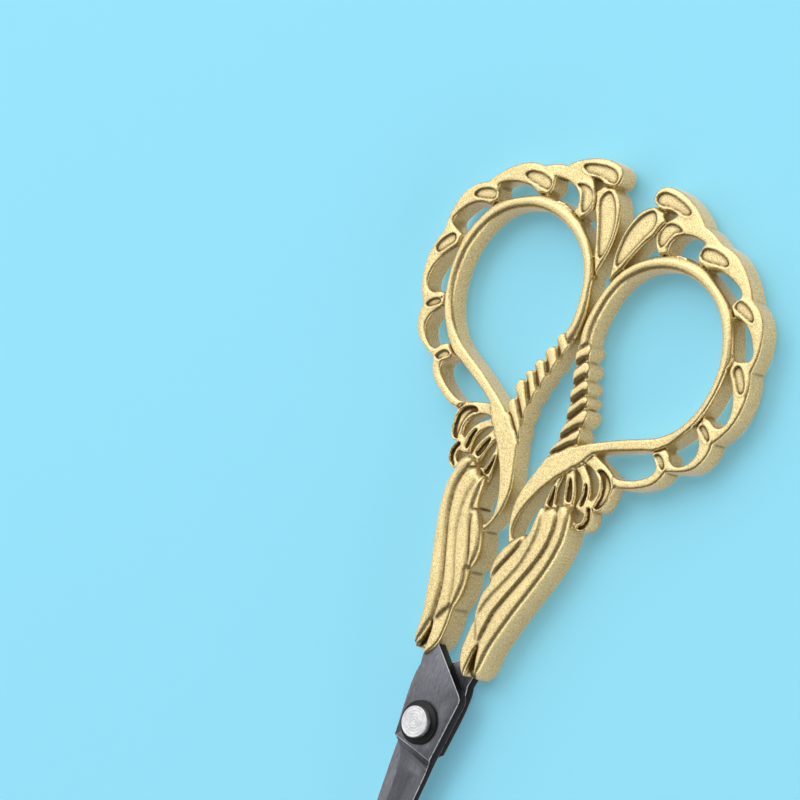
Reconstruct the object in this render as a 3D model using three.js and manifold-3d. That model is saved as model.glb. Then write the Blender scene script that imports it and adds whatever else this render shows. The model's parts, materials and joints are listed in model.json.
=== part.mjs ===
// Small embroidery scissors with two cast, pierced ornamental handles.
// Millimetres. The scissors lie flat with the rivet head up (+Z) and the finger rings toward +Y.
// The closed position is drawn: the two finger rings meet at x = 0. The origin is at the middle of the
// length, on the plane the scissors rest on; outlines are drawn from the pivot axis.
import * as THREE from 'three';
import { ConvexGeometry } from 'three/addons/geometries/ConvexGeometry.js';
import { mergeVertices } from 'three/addons/utils/BufferGeometryUtils.js';
import Module from 'manifold-3d';

const wasm = await Module();
wasm.setup();

// Overall sizes.
const HANDLE_WIDTH = 30.5;        // mirror plane to the outermost scallop of one handle
const HANDLE_LENGTH = 74.9;       // lower end of a handle to the top of its leaf
const HANDLE_START = 8.7;         // pivot axis to the lower end of a handle
const BLADE_REACH = 43.2;         // pivot axis to the tip of a blade
const SHOULDER_WIDTH = 9.15;      // widest part of the flat above the pivot

// Thicknesses along Z.
const BLADE_THICKNESS = 1.7;
const BLADE_GAP = 0.3;            // clear height between the two blades
const SPINE_THICKNESS = 1.25;     // back of the ground part of a blade
const EDGE_THICKNESS = 0.35;      // cutting edge of a blade
const TIP_THICKNESS = 0.75;
const BLADE_BREAK = 0.12;
const TANG_THICKNESS = 1.0;
const RING_THICKNESS = 3.6;       // finger ring, scalloped border and flower
const ROPE_RISE = 0.15;           // how far the rope strands stand above the ring
const CORE_WALL = 0.4;            // metal over the tang pocket
const STRAND_RISE = 0.5;          // how far the feather strands stand above the core

// Relief of the casting.
const EDGE_BREAK = 0.3;           // rounding of ring, border and flower
const STRAND_BREAK = 0.4;         // rounding of the feather strands
const SEAM_WIDTH = 1.0;           // V-shaped seams between the feather strands
const SEAM_DEPTH = 0.4;
const LOBE_BREAK = 0.3;           // rounding of the rope strands
const RECESS_DEPTH = 0.45;        // stippled pockets in leaf, petals and curls
const GROOVE_DEPTH = 0.5;         // seams between neighbouring forms
const GROOVE_WIDTH = 0.3;

// Tang, rivet and washer.
const TANG_HALF_WIDTH = 0.95;
const TANG_LENGTH = 10.5;
const TANG_CLEARANCE = 0.2;
const NECK_GAP = 0.3;             // between the end of a handle and its blade
const RIVET_DIAMETER = 3.0;
const RIVET_CLEARANCE = 0.08;     // radial play in each blade
const HEAD_DIAMETER = 4.55;
const HEAD_HEIGHT = 0.85;
const HEAD_BREAK = 0.15;
const TAIL_DIAMETER = 4.3;
const TAIL_HEIGHT = 0.4;
const WASHER_DIAMETER = 6.3;
const WASHER_THICKNESS = 0.35;
const SEAT_GAP = 0.1;             // under the washer, the head and the tail

// Derived levels, measured from the plane between the two blades.
const ringTop = RING_THICKNESS / 2;
const bladeLow = BLADE_GAP / 2;
const bladeHigh = bladeLow + BLADE_THICKNESS;
const tangMiddle = (bladeLow + bladeHigh) / 2;
const coreTop = tangMiddle + TANG_THICKNESS / 2 + TANG_CLEARANCE + CORE_WALL;
const strandTop = coreTop + STRAND_RISE;
const tailLow = bladeHigh + SEAT_GAP + TAIL_HEIGHT;
const middleZ = Math.max(strandTop, tailLow + SEAT_GAP);
const pivotY = (BLADE_REACH - HANDLE_START - HANDLE_LENGTH) / 2;
const reliefTop = Math.max(strandTop, ringTop + ROPE_RISE) + 1;

const GOLD = { color: 0xc9a557, roughness: 0.38, metalness: 1.0 };
const STEEL = { color: 0x3c3e43, roughness: 0.42, metalness: 0.9 };
const BRIGHT = { color: 0xd9dbdd, roughness: 0.3, metalness: 1.0 };
const BLACK = { color: 0x1c1d20, roughness: 0.5, metalness: 0.7 };

// The handle is drawn once, as the right handle. Outlines are chains of runs: each run is one smooth curve,
// and runs meet in corners. This is its outer outline, anticlockwise.
const FEATHER_OUTER_EDGE = [
  [6.2, 9.6], [6.35, 11.0], [6.95, 14.8], [8.4, 19.8], [9.95, 24.5], [11.05, 28.3], [11.55, 32.0], [11.25, 34.6],
];
const OUTER_RUNS = [
  FEATHER_OUTER_EDGE,
  [[11.25, 34.6], [12.2, 34.45], [13.2, 34.9], [13.75, 35.8], [13.85, 36.8], [13.55, 37.8], [13.1, 38.4]],
  [[13.1, 38.4], [14.0, 38.75], [14.75, 39.7], [15.1, 40.9], [15.3, 42.15]],
  [[15.3, 42.15], [16.7, 42.55], [18.5, 43.2], [20.2, 44.1], [21.5, 45.1], [22.3, 46.3], [22.65, 47.35]],
  [[22.65, 47.35], [24.3, 48.0], [25.8, 48.7], [26.9, 49.6], [27.7, 50.9], [28.1, 52.3], [28.1, 53.7]],
  [[28.1, 53.7], [29.3, 55.5], [30.1, 57.4], [30.5, 59.5], [30.45, 61.5], [30.1, 63.2], [29.5, 64.75]],
  [[29.5, 64.75], [29.65, 66.4], [29.5, 68.2], [29.0, 70.1], [28.15, 71.7], [26.85, 72.95], [25.25, 73.8]],
  [[25.25, 73.8], [24.4, 75.0], [23.1, 76.4], [21.6, 77.6], [20.1, 78.45], [18.6, 78.95], [17.0, 79.1]],
  [[17.0, 79.1], [15.8, 79.65], [14.5, 80.15], [13.2, 80.4]],
  [[13.2, 80.4], [12.0, 81.4], [10.2, 82.5], [8.2, 83.25], [6.2, 83.6], [4.4, 83.35], [3.35, 82.5], [3.1, 81.4],
    [3.4, 80.6], [4.0, 80.2]],
  [[4.0, 80.2], [2.6, 79.3], [1.6, 78.1], [0.95, 76.4], [0.6, 74.6], [0.5, 72.8], [0.65, 71.0], [1.0, 69.3],
    [1.3, 67.8], [1.1, 66.2], [0.6, 64.4], [0.25, 62.5], [0.15, 60.8], [0.3, 59.0], [0.7, 57.2], [1.5, 54.8],
    [2.4, 51.9], [3.1, 49.3], [3.45, 47.2], [3.4, 45.3], [2.95, 42.9], [2.1, 40.0], [1.25, 37.4], [0.7, 34.9],
    [0.8, 32.4], [1.35, 30.4], [2.3, 28.5]],
  [[2.3, 28.5], [1.9, 27.4], [1.5, 26.2], [1.35, 25.0], [1.5, 23.7], [2.0, 22.4]],
  [[2.0, 22.4], [1.7, 21.2], [1.55, 20.0], [1.6, 18.6], [1.85, 17.4], [2.25, 16.3]],
  [[2.25, 16.3], [2.0, 14.6], [1.95, 12.8], [2.0, 11.1]],
  [[2.0, 11.1], [3.0, 9.85], [4.1, 8.7]],
  [[4.1, 8.7], [5.1, 8.9], [6.2, 9.6]],
];

// Openings through the handle, each again a closed chain of smooth runs.
const FINGER_HOLE = [
  [[2.3, 59.3], [2.15, 61.2], [2.35, 63.5], [2.9, 66.0], [3.9, 68.3], [5.2, 70.0], [6.9, 71.4], [8.9, 72.4],
    [11.0, 73.0], [13.2, 73.2], [15.5, 72.95], [17.7, 72.2], [19.8, 71.0], [21.5, 69.3], [22.8, 67.2],
    [23.7, 64.8], [24.1, 62.3], [24.05, 60.0], [23.6, 57.6], [22.6, 55.2], [21.1, 53.0], [19.1, 51.3],
    [17.0, 50.25], [15.0, 49.4], [13.0, 48.5], [11.0, 47.5], [9.0, 46.5], [7.1, 45.4]],
  [[7.1, 45.4], [6.95, 46.4], [6.7, 47.4], [5.85, 48.25]],
  [[5.85, 48.25], [6.6, 48.9], [6.6, 49.9], [5.5, 50.75]],
  [[5.5, 50.75], [6.05, 51.2], [5.85, 52.0], [4.75, 52.5]],
  [[4.75, 52.5], [5.25, 53.0], [5.0, 54.0], [3.65, 54.5]],
  [[3.65, 54.5], [4.3, 55.1], [4.0, 56.2], [2.6, 56.75]],
  [[2.6, 56.75], [3.2, 57.5], [3.05, 58.5], [2.3, 59.3]],
];
const PETAL_HOLE = [
  [[2.65, 69.9], [3.3, 70.6], [4.5, 71.9], [6.0, 73.05], [7.5, 74.1]],
  [[7.5, 74.1], [6.8, 74.8], [6.35, 75.5], [5.85, 76.4]],
  [[5.85, 76.4], [4.9, 75.1], [4.2, 73.8], [3.4, 72.1], [2.65, 69.9]],
];
const LEAF_HOLE = [
  [[5.75, 79.9], [6.7, 80.35], [8.05, 80.2]],
  [[8.05, 80.2], [7.3, 79.4], [6.7, 78.7]],
  [[6.7, 78.7], [6.1, 79.2], [5.75, 79.9]],
];
const BORDER_HOLE_1 = [
  [[9.1, 74.75], [8.8, 75.5], [9.0, 76.6], [9.7, 77.6], [10.8, 78.15], [12.2, 78.4], [14.2, 78.25]],
  [[14.2, 78.25], [13.95, 77.4], [13.85, 76.4], [14.3, 75.35]],
  [[14.3, 75.35], [12.8, 75.4], [11.0, 75.3], [9.1, 74.75]],
];
const BORDER_HOLE_2 = [
  [[16.0, 75.0], [17.6, 75.5], [19.4, 75.5], [21.3, 75.0], [22.7, 74.3], [23.1, 73.6], [22.6, 72.7], [22.1, 71.75]],
  [[22.1, 71.75], [21.0, 72.45], [19.4, 73.35], [17.7, 74.2], [16.0, 75.0]],
];
const BORDER_HOLE_3 = [
  [[23.15, 70.7], [24.4, 70.65], [25.7, 70.25], [26.9, 69.4], [27.9, 68.1], [28.5, 66.9], [28.3, 66.1],
    [27.2, 65.6], [25.9, 65.3]],
  [[25.9, 65.3], [25.3, 66.5], [24.4, 68.5], [23.15, 70.7]],
];
const BORDER_HOLE_4 = [
  [[25.75, 63.8], [26.6, 62.8], [27.6, 61.5], [28.4, 60.0], [28.8, 58.5], [28.75, 57.2], [28.2, 56.25],
    [27.2, 56.0], [26.1, 56.45], [24.9, 56.6]],
  [[24.9, 56.6], [25.35, 58.6], [25.65, 60.8], [25.75, 63.8]],
];
const BORDER_HOLE_5 = [
  [[24.2, 54.7], [25.1, 53.8], [25.9, 52.7], [26.1, 51.3], [25.6, 50.1], [24.7, 49.2], [23.6, 48.75],
    [22.7, 49.0], [22.1, 49.75], [20.95, 50.35]],
  [[20.95, 50.35], [21.6, 51.0], [22.6, 52.3], [24.2, 54.7]],
];
const BORDER_HOLE_6 = [
  [[10.1, 45.2], [11.7, 44.75], [13.1, 44.3], [14.3, 43.8], [15.3, 43.65], [16.4, 43.85], [17.8, 44.35],
    [19.2, 45.1], [20.3, 46.0], [20.8, 47.0], [20.4, 47.9], [19.1, 49.05]],
  [[19.1, 49.05], [17.9, 48.75], [16.0, 47.95], [14.0, 47.15], [12.0, 46.25], [10.1, 45.2]],
];
const HORN_SLOT = [
  [[5.6, 39.5], [5.3, 37.8], [5.05, 35.8], [4.95, 33.6], [4.95, 30.9]],
  [[4.95, 30.9], [4.3, 30.7], [3.6, 30.1], [2.85, 29.4]],
  [[2.85, 29.4], [2.25, 30.4], [2.15, 31.9], [2.45, 33.5], [3.2, 35.5], [4.3, 37.7], [5.6, 39.5]],
];
const FLOWER_GAP_A = [
  [[6.75, 40.9], [6.4, 39.6], [6.5, 38.2], [6.95, 36.6]],
  [[6.95, 36.6], [7.7, 36.3], [8.4, 36.5]],
  [[8.4, 36.5], [7.9, 37.7], [7.5, 39.2], [6.75, 40.9]],
];
const FLOWER_GAP_B = [
  [[7.85, 42.2], [8.9, 41.8], [9.9, 40.8], [10.5, 39.4], [10.5, 38.2], [10.1, 37.55]],
  [[10.1, 37.55], [9.75, 38.6], [9.2, 39.9], [7.85, 42.2]],
];
const FLOWER_GAP_C = [
  [[8.95, 43.35], [10.2, 43.35], [11.6, 42.7], [12.6, 41.6], [12.95, 40.3], [12.6, 39.2]],
  [[12.6, 39.2], [12.1, 39.3], [11.9, 40.2], [11.2, 41.5], [10.1, 42.5], [8.95, 43.35]],
];
const HOOK_HOLE = [
  [[10.85, 37.15], [11.5, 37.3], [12.15, 36.95], [12.2, 36.3], [11.8, 35.75], [11.2, 35.7], [10.85, 37.15]],
];
const THROUGH_HOLES = [
  FINGER_HOLE, PETAL_HOLE, LEAF_HOLE, BORDER_HOLE_1, BORDER_HOLE_2, BORDER_HOLE_3, BORDER_HOLE_4,
  BORDER_HOLE_5, BORDER_HOLE_6, HORN_SLOT, FLOWER_GAP_A, FLOWER_GAP_B, FLOWER_GAP_C, HOOK_HOLE,
];

// Feather bundle: seams between the strands, from the top down.
const SEAM_1 = [[4.95, 30.9], [4.65, 29.0], [3.85, 27.0], [2.95, 25.0], [2.0, 22.4]];
const SEAM_2 = [[6.5, 35.4], [6.85, 33.4], [6.95, 31.4], [6.75, 29.2], [6.25, 26.8], [5.4, 24.7], [4.5, 22.7],
  [3.65, 20.9], [3.05, 19.2], [2.7, 17.7], [2.25, 16.3]];
const SEAM_3 = [[8.2, 36.1], [8.95, 34.7], [9.3, 33.0], [9.25, 31.0], [8.8, 28.8], [8.2, 27.0], [7.4, 25.0],
  [6.6, 23.0], [5.8, 21.0], [5.1, 19.0], [4.65, 17.0], [4.45, 15.0], [4.5, 13.4]];
const FEATHER_SEAMS = [SEAM_1, SEAM_2, SEAM_3];
const BUNDLE = [
  [[11.25, 34.6], [10.9, 36.0], [10.2, 36.95], [9.3, 37.2], [8.5, 36.8], [8.2, 36.1]],
  [[8.2, 36.1], [7.4, 36.1], [6.5, 35.4]],
  [[6.5, 35.4], [5.9, 35.6], [5.3, 35.3], [5.05, 34.4], [4.9, 33.0], [4.95, 30.9]],
  [[4.95, 30.9], [4.3, 30.6], [3.4, 29.8], [2.4, 28.4], [1.9, 27.4], [1.5, 26.2], [1.35, 25.0], [1.5, 23.7],
    [2.0, 22.4]],
  [[2.0, 22.4], [1.7, 21.2], [1.55, 20.0], [1.6, 18.6], [1.85, 17.4], [2.25, 16.3]],
  [[2.25, 16.3], [3.0, 15.4], [3.7, 14.2], [4.5, 13.4]],
  [[4.5, 13.4], [4.9, 12.4], [5.05, 11.0], [5.1, 9.3]],
  [[5.1, 9.3], [6.2, 9.6]],
  FEATHER_OUTER_EDGE,
];

// Core between the tips of the strands and the end of the handle.
const CORE = [
  [[2.5, 18.5], [2.05, 16.0], [1.95, 13.4], [2.0, 11.1]],
  [[2.0, 11.1], [3.0, 9.85], [4.1, 8.7]],
  [[4.1, 8.7], [5.0, 8.9], [5.7, 9.3]],
  [[5.7, 9.3], [5.9, 11.5], [6.4, 14.5], [7.0, 18.5]],
  [[7.0, 18.5], [2.5, 18.5]],
];

// Rope: each strand runs from the ring side down to the left, as [x, y, half width].
const ROPE_LOBES = [
  [[2.2, 58.1, 0.85], [1.65, 56.7, 0.7], [1.15, 55.3, 0.4]],
  [[3.2, 55.6, 0.95], [2.55, 54.1, 0.8], [1.95, 52.6, 0.4]],
  [[4.15, 53.3, 1.0], [3.4, 51.7, 0.85], [2.75, 50.1, 0.4]],
  [[4.9, 51.4, 1.0], [4.1, 49.6, 0.9], [3.35, 47.8, 0.4]],
  [[5.55, 49.4, 1.0], [4.65, 47.5, 0.95], [3.75, 45.6, 0.4]],
  [[5.8, 46.9, 1.05], [4.9, 45.0, 1.0], [3.9, 43.0, 0.4]],
];

// Pockets with a raised rim.
const RECESSES = [
  [[3.75, 81.4], [4.25, 82.15], [5.2, 82.5], [7.0, 82.45], [9.0, 82.0], [10.2, 81.35], [9.2, 80.95], [7.0, 81.05],
    [5.0, 80.95]],
  [[4.2, 79.4], [2.95, 78.6], [1.9, 77.0], [1.25, 75.0], [1.05, 73.0], [1.2, 71.2], [1.7, 70.3], [2.4, 71.4],
    [3.4, 73.6], [4.4, 75.7], [5.15, 77.2], [5.2, 78.4]],
  [[9.5, 78.6], [8.2, 78.8], [7.25, 78.2], [6.9, 77.0], [7.0, 75.9], [7.6, 75.3], [8.05, 76.2], [8.5, 77.5]],
  [[15.0, 76.9], [15.6, 77.6], [17.0, 77.85], [18.5, 77.6], [19.3, 77.0], [18.6, 76.5], [17.0, 76.25], [15.5, 76.2]],
  [[23.5, 72.3], [23.8, 72.8], [24.7, 72.75], [25.8, 72.3], [26.4, 71.5], [26.1, 71.15], [25.0, 71.35], [23.9, 71.7]],
  [[27.1, 64.2], [27.6, 64.7], [28.3, 64.1], [29.0, 62.8], [29.15, 61.7], [28.8, 61.5], [27.9, 62.6], [27.2, 63.6]],
  [[25.5, 55.0], [25.8, 55.35], [26.5, 55.0], [27.2, 54.3], [27.15, 53.8], [26.5, 53.9], [25.8, 54.4]],
  [[20.5, 48.85], [20.8, 49.15], [21.5, 48.6], [22.0, 47.85], [21.8, 47.6], [21.2, 47.9], [20.6, 48.4]],
];

// Narrow pockets along the stamens, tendril, petal and hook, as [x, y, half width].
const FLUTES = [
  [[10.35, 41.0, 0.15], [11.1, 39.8, 0.28], [11.25, 38.4, 0.2]],
  [[7.95, 40.6, 0.12], [8.5, 39.2, 0.28], [9.15, 37.7, 0.2]],
  [[5.95, 38.5, 0.12], [6.1, 37.5, 0.2], [6.2, 36.5, 0.15]],
  [[10.3, 44.0, 0.12], [12.2, 43.5, 0.2], [13.5, 42.5, 0.22], [14.1, 41.1, 0.22], [13.9, 39.8, 0.15]],
  [[11.9, 38.3, 0.12], [12.9, 37.5, 0.2], [13.1, 36.4, 0.2], [12.5, 35.3, 0.12]],
];

// Seams that part the smooth ring from the forms that touch it, and leaf from petal from curl.
const SEAMS = [
  [[5.85, 76.4], [6.1, 77.4], [6.7, 78.7]],
  [[5.75, 79.9], [4.9, 79.95], [4.0, 80.2]],
  [[7.5, 74.1], [8.3, 74.35], [9.1, 74.75]],
  [[14.3, 75.35], [15.1, 75.3], [16.0, 75.0]],
  [[22.1, 71.75], [22.7, 71.3], [23.15, 70.7]],
  [[25.9, 65.3], [25.9, 64.5], [25.75, 63.8]],
  [[24.9, 56.6], [24.65, 55.7], [24.2, 54.7]],
  [[20.95, 50.35], [20.1, 49.65], [19.1, 49.05]],
  [[2.65, 69.9], [2.0, 68.8], [1.45, 67.4]],
  [[10.1, 45.2], [9.5, 44.4], [8.95, 43.35]],
  [[8.95, 43.35], [8.4, 42.8], [7.85, 42.2]],
  [[7.85, 42.2], [7.3, 41.6], [6.75, 40.9]],
  [[6.75, 40.9], [6.2, 40.3], [5.6, 39.5]],
];

// Tang of one blade inside its handle, drawn for the right handle from the end of the handle up.
const TANG_LINE = [[2.75, 9.0], [3.15, 10.2], [4.0, 13.2], [4.75, 16.2], [5.2, 19.2]];

// Front blade, clockwise from the end of the neck.
const SHOULDER_RIGHT = [[4.5, 6.1], [4.9, 5.6], [5.0, 4.9], [4.05, -3.9]];
const SHOULDER_LEFT = [[-3.4, -3.1], [-3.95, 1.5], [-4.15, 4.4], [-4.1, 6.3], [-3.85, 7.4]];
const NECK_EDGE = [[-2.0, 11.1], [-3.0, 9.85], [-4.1, 8.7]];
const SPINE_LINE = [[4.05, -3.9], [3.75, -9.0], [3.3, -15.0], [2.75, -22.0], [2.05, -30.0], [1.2, -38.0], [0.0, -43.2]];
const EDGE_LINE = [[0.0, -43.2], [-0.45, -38.0], [-0.85, -30.0], [-1.2, -22.0], [-1.5, -15.0], [-1.75, -9.0],
  [-2.1, -5.9], [-2.8, -4.3], [-3.4, -3.1]];
const GRIND_START = 3.5;          // pivot axis to the start of the ground part
const GRIND_RUN = 3.0;            // length over which the grinding deepens
const GRIND_SLANT = 0.1;

// The drawing's own extents, which the sizes at the top stretch it from.
const drawnX = OUTER_RUNS.flat().map(([x]) => x);
const drawnY = OUTER_RUNS.flat().map(([, y]) => y);
const drawnStart = Math.min(...drawnY);
const drawnLength = Math.max(...drawnY) - drawnStart;
const drawnWidth = Math.max(...drawnX);
const drawnShoulder = Math.max(...SHOULDER_RIGHT.map(([x]) => x)) - Math.min(...SHOULDER_LEFT.map(([x]) => x));
const drawnReach = -Math.min(...SPINE_LINE.map(([, y]) => y));

// A drawn point at its place on the right handle. A band's half width stays as it is.
const onHandle = ([x, y, ...halfWidth]) => [
  x * HANDLE_WIDTH / drawnWidth,
  HANDLE_START + (y - drawnStart) * HANDLE_LENGTH / drawnLength,
  ...halfWidth,
];

// A smooth open curve through the given points, thinned where it is nearly straight.
function smoothRun(points, tolerance = 0.05) {
  if (points.length === 2) return points.map(([x, y]) => new THREE.Vector2(x, y));
  const curve = new THREE.SplineCurve(points.map(([x, y]) => new THREE.Vector2(x, y)));
  const fine = curve.getPoints((points.length - 1) * 4);
  const kept = [fine[0]];
  let last = 0;
  for (let next = 2; next < fine.length; next += 1) {
    const chord = new THREE.Line3(
      new THREE.Vector3(fine[last].x, fine[last].y, 0),
      new THREE.Vector3(fine[next].x, fine[next].y, 0),
    );
    let worst = 0;
    for (let i = last + 1; i < next; i += 1) {
      const point = new THREE.Vector3(fine[i].x, fine[i].y, 0);
      const nearest = chord.closestPointToPoint(point, true, new THREE.Vector3());
      worst = Math.max(worst, nearest.distanceTo(point));
    }
    if (worst > tolerance) {
      kept.push(fine[next - 1]);
      last = next - 1;
    }
  }
  kept.push(fine[fine.length - 1]);
  return kept;
}

// Runs joined end to end into one closed list of points.
function closedChain(runs, tolerance) {
  return runs.flatMap((run) => smoothRun(run, tolerance).slice(0, -1));
}

// A smooth closed curve through the given points.
function closedCurve(points, perSpan = 1) {
  const curve = new THREE.CatmullRomCurve3(points.map(([x, y]) => new THREE.Vector3(x, y, 0)), true, 'centripetal');
  return curve.getPoints(points.length * perSpan).slice(0, -1).map((p) => new THREE.Vector2(p.x, p.y));
}

// The outline of a band that follows [x, y, half width] points and has rounded ends.
function bandOutline(points, perSpan, capSteps) {
  const middle = new THREE.CatmullRomCurve3(points.map(([x, y, w]) => new THREE.Vector3(x, y, w)));
  const count = (points.length - 1) * perSpan;
  const left = [];
  const right = [];
  for (let i = 0; i <= count; i += 1) {
    const at = middle.getPoint(i / count);
    const along = middle.getTangent(i / count).setZ(0).normalize();
    left.push(new THREE.Vector2(at.x - along.y * at.z, at.y + along.x * at.z));
    right.push(new THREE.Vector2(at.x + along.y * at.z, at.y - along.x * at.z));
  }
  const cap = (from, to) => {
    const centre = from.clone().add(to).multiplyScalar(0.5);
    const arm = from.clone().sub(centre);
    return Array.from({ length: capSteps }, (_, i) => {
      const turn = -Math.PI * (i + 1) / (capSteps + 1);
      return arm.clone().rotateAround(new THREE.Vector2(), turn).add(centre);
    });
  };
  const end = cap(left[count], right[count]);
  const start = cap(right[0], left[0]);
  return [...left, ...end, ...right.reverse(), ...start];
}

// A slab between two heights. A break rounds its upper and lower edges inside the outline.
function slab(outline, low, high, edgeBreak = 0, holes = [], steps = 1) {
  const turned = (points, clockwise) => (
    THREE.ShapeUtils.isClockWise(points) === clockwise ? points : points.slice().reverse()
  );
  const shape = new THREE.Shape(turned(outline, false));
  shape.holes = holes.map((hole) => new THREE.Path(turned(hole, true)));
  const geometry = new THREE.ExtrudeGeometry(shape, {
    depth: high - low - 2 * edgeBreak,
    bevelEnabled: edgeBreak > 0,
    bevelThickness: edgeBreak,
    bevelSize: edgeBreak,
    bevelOffset: -edgeBreak,
    bevelSegments: steps,
    steps: 1,
  });
  return geometry.translate(0, 0, low + edgeBreak);
}

function toSolid(geometry) {
  const plain = geometry.clone();
  plain.deleteAttribute('normal');
  plain.deleteAttribute('uv');
  const welded = mergeVertices(plain, 1e-4);
  return new wasm.Manifold(new wasm.Mesh({
    numProp: 3,
    vertProperties: new Float32Array(welded.attributes.position.array),
    triVerts: new Uint32Array(welded.index.array),
  }));
}

function toGeometry(solid) {
  const mesh = solid.getMesh();
  const geometry = new THREE.BufferGeometry();
  geometry.setAttribute('position', new THREE.BufferAttribute(new Float32Array(mesh.vertProperties), 3));
  geometry.setIndex(new THREE.BufferAttribute(new Uint32Array(mesh.triVerts), 1));
  const flat = geometry.toNonIndexed();
  flat.computeVertexNormals();
  return flat;
}

function joined(solids) {
  return solids.reduce((sum, solid) => sum.add(solid));
}

// The tang as a band; grow widens it for the pocket, and reach lengthens it past both ends.
function tangBand(side, grow, lowerReach, upperReach) {
  const line = TANG_LINE.map(onHandle).map(([x, y]) => new THREE.Vector3(side * x, y, 0));
  const curve = new THREE.CatmullRomCurve3(line);
  const used = Math.min(1, TANG_LENGTH / curve.getLength());
  const stations = [0, 0.25, 0.5, 0.75, 1].map((t) => curve.getPointAt(t * used));
  const first = stations[0].clone().sub(stations[1]).setLength(lowerReach);
  const last = stations[4].clone().sub(stations[3]).setLength(upperReach);
  const points = [stations[0].clone().add(first), ...stations.slice(0, 4), stations[4].clone().add(last)];
  return bandOutline(points.map((p) => [p.x, p.y, TANG_HALF_WIDTH + grow]), 1, 2);
}

// One cast handle: side is 1 for the right handle and -1 for the left.
function handle(side) {
  const draw = (points) => points.map((p) => {
    const [x, y] = onHandle([p.x, p.y]);
    return new THREE.Vector2(side * x, y);
  });
  const drawBand = (points, perSpan, capSteps) => {
    const line = points.map(onHandle).map(([x, y, halfWidth]) => [side * x, y, halfWidth]);
    return bandOutline(line, perSpan, capSteps);
  };
  const outer = draw(closedChain(OUTER_RUNS));
  const holes = THROUGH_HOLES.map((runs) => draw(closedChain(runs)));
  const plate = toSolid(slab(outer, -ringTop, ringTop, EDGE_BREAK, holes));

  const raised = [];
  raised.push(toSolid(slab(draw(closedChain(BUNDLE)), -strandTop, strandTop, STRAND_BREAK)));
  for (const lobe of ROPE_LOBES) {
    const top = ringTop + ROPE_RISE;
    raised.push(toSolid(slab(drawBand(lobe, 2, 3), -top, top, LOBE_BREAK)));
  }
  raised.push(toSolid(slab(draw(closedChain(CORE, 0.04)), -coreTop, coreTop, EDGE_BREAK)));

  const cuts = [];
  for (const seam of FEATHER_SEAMS) {
    const line = smoothRun(seam, 0.05).map((p) => [p.x, p.y, SEAM_WIDTH / 2]);
    const groove = drawBand(line, 1, 3);
    cuts.push(toSolid(slab(groove, strandTop - SEAM_DEPTH, strandTop + SEAM_DEPTH + 0.1, SEAM_DEPTH)));
    cuts.push(toSolid(slab(groove, -strandTop - SEAM_DEPTH - 0.1, SEAM_DEPTH - strandTop, SEAM_DEPTH)));
  }
  const onBothFaces = (outline, depth) => {
    cuts.push(toSolid(slab(outline, ringTop - depth, reliefTop)));
    cuts.push(toSolid(slab(outline, -reliefTop, depth - ringTop)));
  };
  for (const recess of RECESSES) onBothFaces(draw(closedCurve(recess)), RECESS_DEPTH);
  for (const flute of FLUTES) onBothFaces(drawBand(flute, 2, 1), RECESS_DEPTH);
  for (const seam of SEAMS) {
    onBothFaces(drawBand(seam.map(([x, y]) => [x, y, GROOVE_WIDTH / 2]), 1, 1), GROOVE_DEPTH);
  }

  const tangCentre = -side * tangMiddle;
  const pocketHalf = TANG_THICKNESS / 2 + TANG_CLEARANCE;
  const pocket = tangBand(side, TANG_CLEARANCE, 3, TANG_CLEARANCE);
  cuts.push(toSolid(slab(pocket, tangCentre - pocketHalf, tangCentre + pocketHalf)));
  return toGeometry(joined([plate, ...raised]).subtract(joined(cuts)));
}

// What grinding takes off the outer face below the pivot: a flat that falls from the spine to the edge,
// with a hollow run-out at its upper end.
function grinding(wide) {
  const spine = new THREE.Vector3(SPINE_LINE[0][0] * wide, SPINE_LINE[0][1], SPINE_THICKNESS);
  const edge = new THREE.Vector3(EDGE_LINE[5][0] * wide, EDGE_LINE[5][1], EDGE_THICKNESS);
  const tip = new THREE.Vector3(0, -BLADE_REACH, TIP_THICKNESS);
  const plane = new THREE.Plane().setFromCoplanarPoints(spine, edge, tip);
  const heightAt = (x, y) => -(plane.normal.x * x + plane.normal.y * y + plane.constant) / plane.normal.z;
  const above = BLADE_THICKNESS + 2;
  const below = -BLADE_REACH - 5;
  const points = [];
  for (const x of [-SHOULDER_WIDTH / 2, SHOULDER_WIDTH / 2]) {
    const start = -GRIND_START - GRIND_SLANT * x;
    points.push(new THREE.Vector3(x, start, above));
    for (const [share, left] of [[0, 1], [0.2, 0.5], [0.5, 0.15], [1, 0]]) {
      const y = start - share * GRIND_RUN;
      const floor = heightAt(x, y);
      points.push(new THREE.Vector3(x, y, floor + left * (BLADE_THICKNESS - floor)));
    }
    points.push(new THREE.Vector3(x, below, heightAt(x, below)));
    points.push(new THREE.Vector3(x, below, above));
  }
  return new ConvexGeometry(points);
}

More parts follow.
